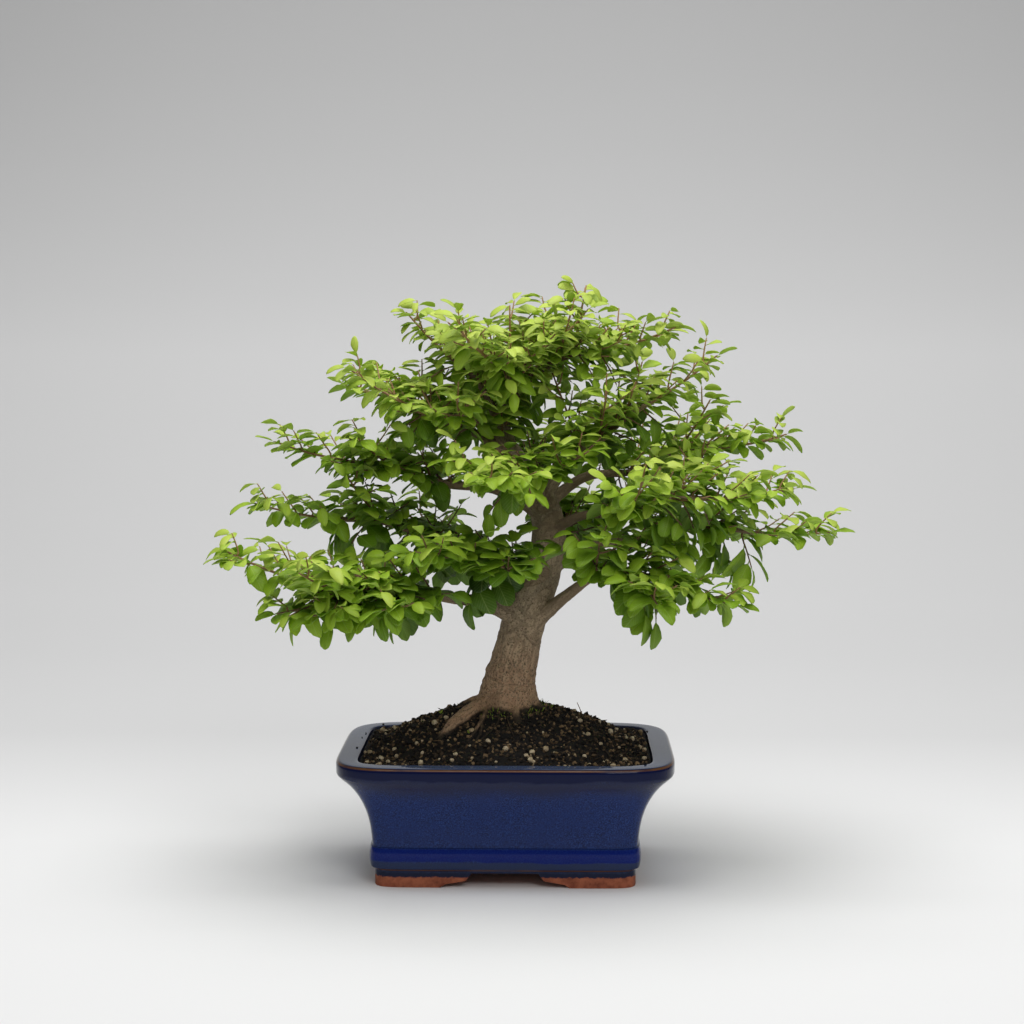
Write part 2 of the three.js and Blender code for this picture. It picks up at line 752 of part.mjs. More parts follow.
function makeSprays() {
  const sprays = [];
  for (const limb of [...LIMBS, LEADER]) {
    const { name, rolls, reach, leafy = LEAFY } = limb;
    rolls.forEach((roll, i) => {
      const along = mix(...leafy, (i + 0.5) / rolls.length);
      sprays.push({ name: `spray_${name}_${i + 1}`, root: sideRoot(limb, along, roll), reach });
    });
    sprays.push({ name: `spray_${name}_end`, root: endRoot(limb), reach });
  }
  sprays.forEach(seatStem);
  return sprays.map((spray) => {
    const leaves = growLeaves(spray);
    return { name: spray.name, solid: stemSkin(spray.rings, leaves).solid() };
  });
}

// The whole object

const pot = makePot();
const soil = cut(makeSoil(), [makeFoot(CLEARANCE), ...DRAINS.map(screenRoom)]);
const wood = makeWood();
[pot, soil, wood].forEach(place);

const bonsai = new THREE.Group();
bonsai.add(meshOf(pot, "pot", POT_GLAZE));
bonsai.add(meshOf(makeScreen(DRAINS[0]), "drain_screen_left", NET));
bonsai.add(meshOf(makeScreen(DRAINS[1]), "drain_screen_right", NET));
bonsai.add(meshOf(soil, "soil", SOIL));
bonsai.add(meshOf(wood, "wood", BARK));
makeSprays().forEach(({ name, solid }) => bonsai.add(meshOf(solid, name, FOLIAGE)));

// The middle of the whole plan, crown included, stands over the origin.
const middle = new THREE.Box3().setFromObject(bonsai).getCenter(new THREE.Vector3());
bonsai.position.set(-middle.x, -middle.y, 0);

export default bonsai;
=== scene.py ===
import math
import random

import bmesh
import bpy
from mathutils import Matrix, Vector, noise
from mathutils.kdtree import KDTree


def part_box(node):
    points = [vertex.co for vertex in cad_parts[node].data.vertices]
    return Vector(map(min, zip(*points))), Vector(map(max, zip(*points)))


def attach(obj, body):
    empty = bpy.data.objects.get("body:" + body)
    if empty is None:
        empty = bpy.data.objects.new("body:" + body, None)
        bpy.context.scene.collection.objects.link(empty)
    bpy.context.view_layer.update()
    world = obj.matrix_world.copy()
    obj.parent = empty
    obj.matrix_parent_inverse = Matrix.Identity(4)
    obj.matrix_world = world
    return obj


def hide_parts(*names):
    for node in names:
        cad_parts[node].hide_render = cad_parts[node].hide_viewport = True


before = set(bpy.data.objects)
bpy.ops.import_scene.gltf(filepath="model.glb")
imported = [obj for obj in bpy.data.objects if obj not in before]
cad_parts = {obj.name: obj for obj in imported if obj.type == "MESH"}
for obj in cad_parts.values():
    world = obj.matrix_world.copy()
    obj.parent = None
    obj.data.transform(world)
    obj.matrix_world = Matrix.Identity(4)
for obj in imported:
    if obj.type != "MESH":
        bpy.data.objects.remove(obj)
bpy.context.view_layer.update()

# The pot: one body of fired stoneware, a bowed rectangle that flares from a beaded base to a flat lip. It is
# glazed blue outside and over the lip. Its four cut feet, its underside and its inner wall are bare clay.
pot_low, pot_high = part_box("pot")
POT_MIDDLE = (pot_low + pot_high) / 2
HALF_LONG = (pot_high.x - pot_low.x) / 2
HALF_DEEP = (pot_high.y - pot_low.y) / 2
POT_TOP = pot_high.z
LIP_BOTTOM = 0.066
LIP_ROLL = 0.0034
LIP_TUCK = 0.001
LIP_ROUND = 0.0025
LIP_OUTSIDE = 0.965
# How far in the rings on the flat of the rim lie, and how square they are.
RIM_FLAT = ((0.0065, 7.5), (0.0105, 9))
MOUTH_INSET = 0.0135
MOUTH_ROUND = 0.001
GLAZE_STOP = 0.067
WAIST = (0.0213, 0.0245)
FLARE = (WAIST, (0.0205, 0.040), (0.0165, 0.0525), (0.0024, 0.0645))
BEAD_MIDDLE = 0.0176
BEAD_HALF = 0.0066
BEAD_BULGE = 0.0015
BEAD_BLUNTNESS = 0.7
FOOT_INSET = 0.0228
FOOT_TOP = 0.0095
FOOT_THICKNESS = 0.013
BASE_HEIGHT = 0.0085
FLOOR_HEIGHT = 0.016
FLOOR_INSET = 0.030
ARCHES = ((0.038, 0.0), (0.027, math.pi / 2))
ARCH_STEPS = ((0, -0.001), (0, 0), (0.003, 0.002), (0.015, 0.004), (0.0185, BASE_HEIGHT))
FOOT_EDGE = 0.0007
SHARP_ANGLE = 0.6
HAIR = 0.0001
DRAIN_RADIUS = 0.006
DRAIN_OFFSETS = (-0.038, 0.038)
DRAIN_MIDDLE = 0.02
DRAIN_DEPTH = 0.05
RIM_SQUARENESS = 6
BASE_SQUARENESS = 13
MOUTH_SQUARENESS = 10
POT_SEGMENTS = 168
CORNER_CROWDING = 0.17


def on_plan(turn, inset, height, squareness, share=1.0):
    """A point on a ring of the pot's bowed plan. The points crowd together in the corners."""
    warped = turn + CORNER_CROWDING * math.sin(4 * turn)
    across, back = math.cos(warped), math.sin(warped)
    reach = share * (abs(across) ** squareness + abs(back) ** squareness) ** (-1 / squareness)
    x = POT_MIDDLE.x + (HALF_LONG - inset) * reach * across
    y = POT_MIDDLE.y + (HALF_DEEP - inset) * reach * back
    return Vector((x, y, height(x, y) if callable(height) else height))


def squared_reach(across, back, squareness):
    """How far out a point lies on a squared plan, with 1 at its edge."""
    return (abs(across) ** squareness + abs(back) ** squareness) ** (1 / squareness)


def layer_of(mesh, name):
    """The layer in which a mesh notes one number for each vertex."""
    return mesh.verts.layers.float.get(name) or mesh.verts.layers.float.new(name)


def face_out(mesh):
    """Turns the faces of a closed mesh outward."""
    bmesh.ops.recalc_face_normals(mesh, faces=mesh.faces)
    return mesh


def carry_on(mesh, edges):
    """Extrudes a ring of edges, and gives the new ring's edges and vertices."""
    made = bmesh.ops.extrude_edge_only(mesh, edges=edges)["geom"]
    verts = [item for item in made if isinstance(item, bmesh.types.BMVert)]
    edges = [item for item in made if isinstance(item, bmesh.types.BMEdge) and item.is_boundary]
    return edges, verts


def stack_rings(rings, segments):
    """A closed mesh of plan rings, each extruded from the one before it."""
    mesh = bmesh.new()
    bmesh.ops.create_circle(mesh, segments=segments, radius=1)
    turn = layer_of(mesh, "turn")
    for vert in mesh.verts:
        vert[turn] = math.atan2(vert.co.y, vert.co.x)
        vert.co = on_plan(vert[turn], *rings[0])
    edges = mesh.edges[:]
    for ring in rings[1:]:
        edges, verts = carry_on(mesh, edges)
        for vert in verts:
            vert.co = on_plan(vert[turn], *ring)
    bmesh.ops.holes_fill(mesh, edges=mesh.edges, sides=0)
    return face_out(mesh)


def as_data(mesh, name):
    """Turns a bmesh into a mesh of that name."""
    data = bpy.data.meshes.new(name)
    mesh.to_mesh(data)
    mesh.free()
    return data


def stood(name, data):
    """Puts an object with these data at the origin."""
    piece = bpy.data.objects.new(name, data)
    bpy.context.scene.collection.objects.link(piece)
    return piece


def as_piece(mesh, name, *materials, smooth=True):
    """Turns a bmesh into a named object that stands at the origin."""
    data = as_data(mesh, name)
    for material in materials:
        data.materials.append(material)
    data.polygons.foreach_set("use_smooth", [smooth] * len(data.polygons))
    return stood(name, data)


def settled(piece):
    """Applies a piece's modifiers to its mesh."""
    bpy.context.view_layer.update()
    seen = piece.evaluated_get(bpy.context.evaluated_depsgraph_get())
    data = bpy.data.meshes.new_from_object(seen)
    piece.modifiers.clear()
    piece.data = data
    return piece


def cut_away(piece, cutters):
    """Takes each cutter out of the piece, and then throws the cutter away."""
    for cutter in cutters:
        cut = piece.modifiers.new("cut", "BOOLEAN")
        cut.operation = "DIFFERENCE"
        cut.object = cutter
    settled(piece)
    for cutter in cutters:
        bpy.data.objects.remove(cutter)
    return piece


def round_edge(middle, radius, first, last, steps, squareness):
    """Rings round an edge of the lip. Angles are in degrees, from outward to straight up."""
    rings = []
    for i in range(steps + 1):
        angle = math.radians(first + (last - first) * i / steps)
        inset, height = middle[0] - radius * math.cos(angle), middle[1] + radius * math.sin(angle)
        rings.append((inset, height, squareness))
    return rings


def wall_inset(height):
    """How far in the pot's inner wall lies at a height."""
    share = (height - FLOOR_HEIGHT) / (POT_TOP - MOUTH_ROUND - FLOOR_HEIGHT)
    return FLOOR_INSET + (MOUTH_INSET - FLOOR_INSET) * share


def pot_rings():
    base = [(FOOT_INSET, height, BASE_SQUARENESS) for height in (0, FOOT_TOP)]
    for i in range(9):
        angle = math.radians(-90 + 180 * i / 8)
        inset = WAIST[0] - BEAD_BULGE * max(0.0, math.cos(angle)) ** BEAD_BLUNTNESS
        base.append((inset, BEAD_MIDDLE + BEAD_HALF * math.sin(angle), BASE_SQUARENESS))
    wall = []
    for i in range(1, 17):
        t = i / 16
        weights = ((1 - t) ** 3, 3 * t * (1 - t) ** 2, 3 * t * t * (1 - t), t**3)
        inset, height = [sum(w * p[axis] for w, p in zip(weights, FLARE)) for axis in (0, 1)]
        rise = (height - WAIST[1]) / (LIP_BOTTOM - WAIST[1])
        squareness = BASE_SQUARENESS + (RIM_SQUARENESS - BASE_SQUARENESS) * rise * rise * (3 - 2 * rise)
        wall.append((inset, height, squareness))
    under_lip = (LIP_ROLL, LIP_BOTTOM + LIP_ROLL - LIP_TUCK)
    over_lip = (LIP_ROUND, POT_TOP - LIP_ROUND)
    at_mouth = (MOUTH_INSET - MOUTH_ROUND, POT_TOP - MOUTH_ROUND)
    return [
        *base,
        *wall,
        *round_edge(under_lip, LIP_ROLL, -50, 0, 5, RIM_SQUARENESS),
        *round_edge(over_lip, LIP_ROUND, 0, 90, 7, RIM_SQUARENESS),
        *[(inset, POT_TOP, squareness) for inset, squareness in RIM_FLAT],
        *round_edge(at_mouth, MOUTH_ROUND, 90, 180, 4, MOUTH_SQUARENESS),
        (wall_inset(GLAZE_STOP), GLAZE_STOP, MOUTH_SQUARENESS),
        (FLOOR_INSET, FLOOR_HEIGHT, MOUTH_SQUARENESS),
    ]


def arch_cutter(half_span, turn):
    """A bar with the outline of the gap between two feet, laid through the whole base."""
    outline = [(half_span - inward, height) for inward, height in ARCH_STEPS]
    outline += [(-across, height) for across, height in reversed(outline)]
    bar = bmesh.new()
    verts = [bar.verts.new((across, -2 * HALF_LONG, height)) for across, height in outline]
    bar.faces.new(verts)
    made = bmesh.ops.extrude_face_region(bar, geom=bar.faces[:])["geom"]
    far = [item for item in made if isinstance(item, bmesh.types.BMVert)]
    bmesh.ops.translate(bar, vec=(0, 4 * HALF_LONG, 0), verts=far)
    face_out(bar)
    place = Matrix.Translation((POT_MIDDLE.x, POT_MIDDLE.y, 0)) @ Matrix.Rotation(turn, 4, "Z")
    bmesh.ops.transform(bar, matrix=place, verts=bar.verts)
    return as_piece(bar, "arch_cutter")


def drain_cutter(offset):
    drain = bmesh.new()
    bmesh.ops.create_cone(
        drain, cap_ends=True, segments=32, radius1=DRAIN_RADIUS, radius2=DRAIN_RADIUS, depth=DRAIN_DEPTH
    )
    bmesh.ops.translate(drain, vec=(POT_MIDDLE.x + offset, POT_MIDDLE.y, DRAIN_MIDDLE), verts=drain.verts)
    return as_piece(drain, "drain_cutter")


def recess_cutter():
    inset = FOOT_INSET + FOOT_THICKNESS
    rings = [(inset, height, MOUTH_SQUARENESS) for height in (-0.002, BASE_HEIGHT)]
    return as_piece(stack_rings(rings, 96), "recess_cutter")


class Measure:
    """A number that a material works out for each point of a surface."""

    def __init__(self, shade, socket):
        self.shade = shade
        self.socket = socket

    def __add__(self, other):
        return self.shade.reckon("ADD", self, other)

    def __sub__(self, other):
        return self.shade.reckon("SUBTRACT", self, other)

    def __mul__(self, other):
        return self.shade.reckon("MULTIPLY", self, other)

    def spread(self, low, high, new_low=0.0, new_high=1.0):
        """Stretches a range of numbers to another range, smoothly."""
        node = self.shade.add("MapRange", Value=self)
        node.interpolation_type = "SMOOTHSTEP"
        for socket, number in zip(node.inputs[1:5], (low, high, new_low, new_high)):
            socket.default_value = number
        return Measure(self.shade, node.outputs[0])


class Shade:
    """A material and the nodes that are added to it, named for the finish that it gives."""

    def __init__(self, name):
        self.material = bpy.data.materials.new(name)
        self.material.use_nodes = True
        self.nodes = self.material.node_tree.nodes
        self.nodes.clear()
        self.surface = self.add("BsdfPrincipled")
        self.output = self.add("OutputMaterial")
        self.join(self.surface.outputs[0], self.output.inputs["Surface"])
        self.place = self.add("TexCoord").outputs["Object"]

    def add(self, kind, **sockets):
        node = self.nodes.new("ShaderNode" + kind)
        for name, value in sockets.items():
            self.join(value, node.inputs[name.replace("_", " ")])
        return node

    def join(self, value, socket):
        """Links what another node gives to a socket, or sets a plain number or colour there."""
        value = getattr(value, "socket", value)
        if isinstance(value, bpy.types.NodeSocket):
            self.material.node_tree.links.new(value, socket)
        else:
            socket.default_value = (*value, 1) if isinstance(value, tuple) else value

    def axis(self, name, vector=None):
        return Measure(self, self.add("SeparateXYZ", Vector=vector or self.place).outputs[name])

    def read(self, name, output="Fac"):
        """What the mesh notes under a name."""
        node = self.add("Attribute")
        node.attribute_name = name
        return Measure(self, node.outputs[output])

    def grain(self, scale, detail=2.0, roughness=0.5, vector=None):
        """Soft random patches, as a number from 0 to 1."""
        node = self.add("TexNoise", Vector=vector or self.place, Scale=scale, Detail=detail)
        self.join(roughness, node.inputs["Roughness"])
        return Measure(self, node.outputs[0])

    def cells(self, scale, vector=None):
        """The distance to the nearest of many scattered points."""
        node = self.add("TexVoronoi", Vector=vector or self.place, Scale=scale)
        return Measure(self, node.outputs["Distance"])

    def stops(self, value, *stops):
        """A colour, from pairs of a place from 0 to 1 and a colour."""
        ramp = self.add("ValToRGB", Fac=value)
        while len(ramp.color_ramp.elements) < len(stops):
            ramp.color_ramp.elements.new(0.5)
        for element, (place, colour) in zip(ramp.color_ramp.elements, stops):
            element.position = place
            element.color = (*colour, 1)
        return ramp.outputs[0]

    def reckon(self, kind, *values, clamp=False):
        node = self.add("Math")
        node.operation = kind
        node.use_clamp = clamp
        for value, socket in zip(values, node.inputs):
            self.join(value, socket)
        return Measure(self, node.outputs[0])

    def blend(self, share, first, second, kind="MIX"):
        """Mixes two colours. The share is that of the second one."""
        node = self.add("MixRGB", Fac=share)
        node.blend_type = kind
        self.join(first, node.inputs[1])
        self.join(second, node.inputs[2])
        return node.outputs[0]

    def coats(self, colour, *coats):
        """Lays more colours over one, in their order. Each follows the share that it covers."""
        for share, coat in coats:
            colour = self.blend(share, colour, coat)
        return colour

    def finish(self, colour, roughness, relief=None, depth=0.001, strength=1.0, **plain):
        """Gives the surface its colour and roughness, its relief, and sockets that are the same all over."""
        self.join(colour, self.surface.inputs["Base Color"])
        self.join(roughness, self.surface.inputs["Roughness"])
        if relief is not None:
            bump = self.add("Bump", Height=relief, Strength=strength, Distance=depth)
            self.join(bump.outputs[0], self.surface.inputs["Normal"])
        for name, value in plain.items():
            self.join(value, self.surface.inputs[name.replace("_", " ")])
        return self.material


CLAY_RED = (0.39, 0.122, 0.062)
CLAY_DARK = (0.19, 0.052, 0.028)
GLAZE_NAVY = (0.0085, 0.0130, 0.038)
GLAZE_BLUE = (0.0130, 0.0280, 0.119)
GLAZE_FLECK = (0.026, 0.066, 0.254)
GLAZE_HAZE = (0.0200, 0.0215, 0.041)
GLAZE_BEAD = (0.0235, 0.0345, 0.076)
# The flat of the rim: a paler blue, partly thinner glaze and partly a painted reflection of the backdrop.
RIM_PAINTED_REFLECTION = (0.060, 0.086, 0.160)
GLAZE_POOL = (0.0002, 0.0075, 0.125)
GLAZE_LIP = (0.0018, 0.0048, 0.034)
GLAZE_BREAK = (0.125, 0.052, 0.020)
# The heights between which the glaze changes. Where the first is the higher one, the change fades upward.
HAZE_RISE = (0.060, 0.072)
BEAD_FADE = (0.0165, 0.0150)
POOL_FOOT = (0.0155, 0.0163)
POOL_FADE = (0.0238, 0.0230)
LIP_POOL = (0.0672, 0.0688)
RIM_EDGE = ((0.0735, 0.0740), (0.07485, 0.0745))
BEAD_EDGE = ((0.0098, 0.0103), (0.0113, 0.0107))
RIM_LEVEL = (0.07485, 0.07497)
GLAZE_THINS = (0.0118, 0.0096)
GLAZE_ENDS = (0.0084, 0.0074)


def clay_colour(shade):
    return shade.stops(shade.grain(260, 4, 0.6), (0.3, CLAY_DARK), (0.62, CLAY_RED))


def fired_clay():
    shade = Shade("bare_fired_clay")
    relief = shade.grain(1400, 3)
    return shade.finish(clay_colour(shade), 0.85, relief, 0.0002, 0.6)


def blue_glaze():
    """Runs thick and bright into hollows, breaks brown over sharp edges, and stops short of the ground."""
    shade = Shade("speckled_blue_glaze")
    height = shade.axis("Z")
    outer = shade.read("outer")
    fleck = shade.grain(1300, 2, 0.6)
    cloud = shade.grain(42, 3, 0.55)
    haze = height + shade.grain(26, 2) * 0.012
    wavy = height + (cloud - 0.5) * 0.0055
    ragged = height + shade.grain(420, 4, 0.7) * 0.0034
    flooded = shade.blend(fleck.spread(0.3, 0.75, 0.0, 0.22), GLAZE_POOL, GLAZE_FLECK)
    rim, bead = [height.spread(*rise) * height.spread(*fall) for rise, fall in (RIM_EDGE, BEAD_EDGE)]
    edge = shade.reckon("ADD", rim * outer, bead, clamp=True)
    bare = ragged.spread(*GLAZE_ENDS)
    colour = shade.coats(
        shade.stops(fleck, (0.30, GLAZE_NAVY), (0.52, GLAZE_BLUE), (0.78, GLAZE_FLECK)),
        (cloud.spread(0.35, 0.65, 0.0, 0.5), GLAZE_BLUE),
        (haze.spread(*HAZE_RISE, 0.0, 0.75), GLAZE_HAZE),
        (height.spread(*BEAD_FADE, 0.0, 0.8), GLAZE_BEAD),
        (wavy.spread(*LIP_POOL) * outer, GLAZE_LIP),
        (wavy.spread(*POOL_FOOT) * height.spread(*POOL_FADE), flooded),
        # Painted reflection: the flat of the rim is painted paler, partly as thinner glaze.
        (height.spread(*RIM_LEVEL, 0.0, 0.8), RIM_PAINTED_REFLECTION),
        (edge * cloud.spread(0.3, 0.5, 0.35, 0.9), GLAZE_BREAK),
        (ragged.spread(*GLAZE_THINS), GLAZE_NAVY),
        (bare, clay_colour(shade)),
    )
    roughness = bare * 0.60 + fleck.spread(0.3, 0.7, 0.03, 0.08)
    relief = shade.grain(150, 2) + fleck * 0.15
    return shade.finish(colour, roughness, relief, 0.0002, 0.10, Specular_IOR_Level=0.15)


def make_pot():
    pot = as_piece(stack_rings(pot_rings(), POT_SEGMENTS), "glazed_pot", blue_glaze(), fired_clay())
    arches = [arch_cutter(*arch) for arch in ARCHES]
    cut_away(pot, [recess_cutter(), *arches, *map(drain_cutter, DRAIN_OFFSETS)])
    mesh = bmesh.new()
    mesh.from_mesh(pot.data)
    bmesh.ops.remove_doubles(mesh, verts=mesh.verts, dist=0.00001)
    sharp = [e for e in mesh.edges if e.is_manifold and e.calc_face_angle() > SHARP_ANGLE]
    feet = [e for e in sharp if max(v.co.z for v in e.verts) < BASE_HEIGHT + 2 * HAIR]
    bmesh.ops.bevel(
        mesh, geom=feet, offset=FOOT_EDGE, segments=2, profile=0.5, affect="EDGES", material=-1,
        clamp_overlap=True,
    )
    outer = layer_of(mesh, "outer")
    for vert in mesh.verts:
        across = (vert.co.x - POT_MIDDLE.x) / HALF_LONG
        back = (vert.co.y - POT_MIDDLE.y) / HALF_DEEP
        vert[outer] = 1.0 if squared_reach(across, back, RIM_SQUARENESS) > LIP_OUTSIDE else 0.0
    mouth_end = on_plan(0, MOUTH_INSET, 0, MOUTH_SQUARENESS).x - POT_MIDDLE.x
    for face in mesh.faces:
        middle, normal = face.calc_center_median(), face.normal
        across, back = middle.x - POT_MIDDLE.x, middle.y - POT_MIDDLE.y
        outward = across * normal.x + back * normal.y
        hollow = abs(across) < mouth_end and abs(back) < HALF_DEEP - MOUTH_INSET
        under = normal.z < -SHARP_ANGLE and middle.z < FOOT_TOP
        recess = middle.z < BASE_HEIGHT + HAIR and outward < 0
        inner = hollow and FLOOR_HEIGHT - 10 * HAIR < middle.z < GLAZE_STOP and outward <= 0
        face.material_index = 1 if under or recess or inner else 0
        face.smooth = True
    mesh.to_mesh(pot.data)
    mesh.free()
    pot.data.set_sharp_from_angle(angle=math.radians(40))
    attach(pot, "root")
    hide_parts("pot")


make_pot()

# The drain screens: two squares of moulded black plastic net, laid loose over the drain holes before the
# soil goes in. Their shape is the frame's own.
SCREEN_NAMES = ("drain_screen_left", "drain_screen_right")
NET_BLACK = (0.012, 0.014, 0.015)
NET_GREY = (0.035, 0.038, 0.040)


def black_plastic_net():
    shade = Shade("black_plastic_net")
    scuffed = shade.stops(shade.grain(500, 4, 0.6), (0.40, NET_BLACK), (0.72, NET_GREY))
    return shade.finish(scuffed, shade.grain(900).spread(0.3, 0.7, 0.40, 0.62))


def dress_screens():
    net = black_plastic_net()
    for name in SCREEN_NAMES:
        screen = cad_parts[name]
        screen.data.materials.clear()
        screen.data.materials.append(net)


dress_screens()

# The soil: dark composted bark and baked clay, poured in, heaped toward the trunk and watered down. The body
# fills the pot. Loose crumbs, pale pumice and a little litter lie on it.
SOIL_EDGE = 0.0735
SOIL_PEAK = 0.1015
SOIL_SWELL = 1.75
SOIL_GAP = 0.0003
SOIL_RINGS = 54
CRUMBS = 7600
CRUMB_RADIUS = (0.0005, 0.0017)
CRUMB_SPREAD = 0.972
TRUNK_CLEAR = 0.0165
RIM_CRUMBS = 7
RIM_CRUMB_INSET = (0.0100, 0.0135)
RIM_CRUMB_RADIUS = (0.0004, 0.0010)
FIBRES = 150
FIBRE_LENGTH = (0.0015, 0.0034)
FIBRE_THICKNESS = (0.00022, 0.00042)
FIBRE_RISE = 0.0009
PUMICE = 170
PUMICE_RADIUS = (0.0007, 0.0020)
SOIL_BLACK = (0.0022, 0.0016, 0.0014)
SOIL_BROWN = (0.046, 0.029, 0.015)
SOIL_TAN = (0.20, 0.13, 0.066)
PUMICE_CREAM = (0.60, 0.50, 0.34)
PUMICE_SHADE = (0.27, 0.19, 0.10)

soil_draw = random.Random(3)
soil_between = soil_draw.uniform


def heap_at(x, y):
    """The height of the heaped soil over a point of the plan."""
    across = (x - POT_MIDDLE.x) / (HALF_LONG - MOUTH_INSET)
    back = (y - POT_MIDDLE.y) / (HALF_DEEP - MOUTH_INSET)
    return SOIL_PEAK + (SOIL_EDGE - SOIL_PEAK) * min(math.hypot(across, back), 1) ** SOIL_SWELL


def crumbled_at(x, y):
    """The height of the heap with the lumps of its surface."""
    spot = Vector((x, y, 0))
    return heap_at(x, y) + 0.0011 * noise.noise(spot * 170) + 0.0008 * noise.noise(spot * 430)


def fill_layer(mesh, name, value):
    layer = layer_of(mesh, name)
    for vert in mesh.verts:
        vert[layer] = value


def lump(mesh_name, fineness, roughness, seed):
    """A rough ball of radius 1."""
    ball = bmesh.new()
    bmesh.ops.create_icosphere(ball, subdivisions=fineness, radius=1)
    for vert in ball.verts:
        vert.co *= 1 + roughness * noise.noise(vert.co * 1.3 + Vector((seed, 2 * seed, 0)))
    fill_layer(ball, "tone", 0.0)
    return as_data(ball, mesh_name)


def scatter(shape, matrix, mesh, **notes):
    """Adds one copy of a shape to a mesh, with numbers of its own in the mesh's layers."""
    copy = shape.copy()
    copy.transform(matrix)
    for name, value in notes.items():
        copy.attributes[name].data.foreach_set("value", [value] * len(copy.vertices))
    mesh.from_mesh(copy)
    bpy.data.meshes.remove(copy)


def random_turn():
    turn = soil_between(0, math.tau)
    return Matrix.Rotation(turn, 4, Vector([soil_draw.gauss(0, 1) for _ in range(3)]))


def moved(*place):
    return Matrix.Translation(place)


def sized(*sizes):
    return Matrix.Diagonal((*sizes, 1))


def soil_spot(bias=0.0):
    """A random point of the open soil. A bias draws it toward the rim."""
    while True:
        across, back = soil_between(-1, 1), soil_between(-1, 1)
        out = squared_reach(across, back, MOUTH_SQUARENESS)
        if out > CRUMB_SPREAD or out ** 2 < soil_draw.random() * bias:
            continue
        x = POT_MIDDLE.x + across * (HALF_LONG - MOUTH_INSET)
        y = POT_MIDDLE.y + back * (HALF_DEEP - MOUTH_INSET)
        if math.hypot(x - POT_MIDDLE.x, y - POT_MIDDLE.y) > TRUNK_CLEAR:
            return x, y


def dark_soil():
    shade = Shade("dark_crumbled_soil")
    mottle = shade.read("tone") + shade.grain(700, 3, 0.6) * 0.4
    colour = shade.stops(mottle, (0.30, SOIL_BLACK), (0.66, SOIL_BROWN), (1.0, SOIL_TAN))
    relief = shade.grain(1500, 3, 0.6)
    return shade.finish(colour, 0.88, relief, 0.0004, 0.8, Specular_IOR_Level=0.35)


def cream_pumice():
    shade = Shade("cream_pumice")
    dusty = shade.stops(shade.grain(600, 3, 0.6), (0.30, PUMICE_SHADE), (0.60, PUMICE_CREAM))
    colour = shade.blend(shade.read("tone") * 0.75, dusty, PUMICE_SHADE)
    return shade.finish(colour, 0.9, shade.cells(1500), 0.0004, 0.7)


def make_soil():
    shoulder = SOIL_EDGE - 0.0013
    rings = [
        (wall_inset(FLOOR_HEIGHT) + SOIL_GAP, FLOOR_HEIGHT + SOIL_GAP, MOUTH_SQUARENESS),
        (wall_inset(shoulder) + SOIL_GAP, shoulder, MOUTH_SQUARENESS),
    ]
    for i in range(SOIL_RINGS):
        share = 1 - i / SOIL_RINGS
        squareness = 2 + (MOUTH_SQUARENESS - 2) * share * share
        rings.append((wall_inset(shoulder) + SOIL_GAP, crumbled_at, squareness, share))
    body = stack_rings(rings, POT_SEGMENTS)
    fill_layer(body, "tone", 0.12)
    soil = as_piece(body, "soil_body", dark_soil())
    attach(soil, "root")
    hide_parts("soil")
    return soil


def make_crumbs(soil_material):
    shapes = [lump("crumb", 1, 0.9, seed) for seed in range(6)]
    crumbs = bmesh.new()
    layer_of(crumbs, "tone")
    for _ in range(CRUMBS):
        x, y = soil_spot()
        radius = soil_between(*CRUMB_RADIUS) * soil_between(0.7, 1)
        z = crumbled_at(x, y) + radius * soil_between(-0.3, 0.5)
        flat = sized(radius, radius * soil_between(0.6, 1), radius * soil_between(0.5, 0.9))
        tone = 0.08 + 0.8 * soil_draw.random() ** 2.2
        place = moved(x, y, z) @ random_turn() @ flat
        scatter(soil_draw.choice(shapes), place, crumbs, tone=tone)
    for _ in range(FIBRES):
        x, y = soil_spot(0.6)
        turn, slope = soil_between(0, math.tau), soil_draw.gauss(0, 0.3)
        laid = Matrix.Rotation(turn, 4, "Z") @ Matrix.Rotation(slope, 4, "Y")
        thin = soil_between(*FIBRE_THICKNESS)
        place = moved(x, y, crumbled_at(x, y) + FIBRE_RISE) @ laid
        place @= sized(soil_between(*FIBRE_LENGTH), thin, thin)
        scatter(shapes[0], place, crumbs, tone=0.7 * soil_draw.random())
    for _ in range(RIM_CRUMBS):
        spot = on_plan(soil_between(0, math.tau), soil_between(*RIM_CRUMB_INSET), POT_TOP, 8)
        radius = soil_between(*RIM_CRUMB_RADIUS)
        place = moved(*spot + Vector((0, 0, 0.4 * radius))) @ random_turn()
        scatter(soil_draw.choice(shapes), place @ sized(radius, radius, 0.7 * radius), crumbs, tone=0.15)
    piece = as_piece(crumbs, "soil_crumbs", soil_material, smooth=False)
    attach(piece, "root")


def make_pumice():
    shapes = [lump("grain", 2, 0.35, seed + 20) for seed in range(5)]
    grains = bmesh.new()
    layer_of(grains, "tone")
    for _ in range(PUMICE):
        x, y = soil_spot(0.9)
        radius = PUMICE_RADIUS[0] + (PUMICE_RADIUS[1] - PUMICE_RADIUS[0]) * soil_draw.random() ** 2.2
        place = moved(x, y, crumbled_at(x, y) + 0.5 * radius) @ random_turn()
        place @= sized(radius, 0.9 * radius, 0.85 * radius)
        scatter(soil_draw.choice(shapes), place, grains, tone=soil_draw.random() ** 2)
    piece = as_piece(grains, "pumice_grains", cream_pumice())
    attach(piece, "root")


soil_piece = make_soil()
make_crumbs(soil_piece.data.materials[0])
make_pumice()

# Moss and seedlings: a black damp skirt of moss hugs the foot of the trunk, with a few fresh blades in it,
# and a sprout or two stands in the open soil. All of it is rooted in the crumbs.
MOSS_BLADES = 1000
MOSS_RING = (0.0150, 0.0270)
BLADE_THICKNESS = (0.00020, 0.00042)
BLADE_SUNK = 0.0004
# How tall a blade is: the least when old, the least when fresh, and what more one near the trunk may have.
BLADE_HEIGHTS = (0.0014, 0.0028, 0.0032)
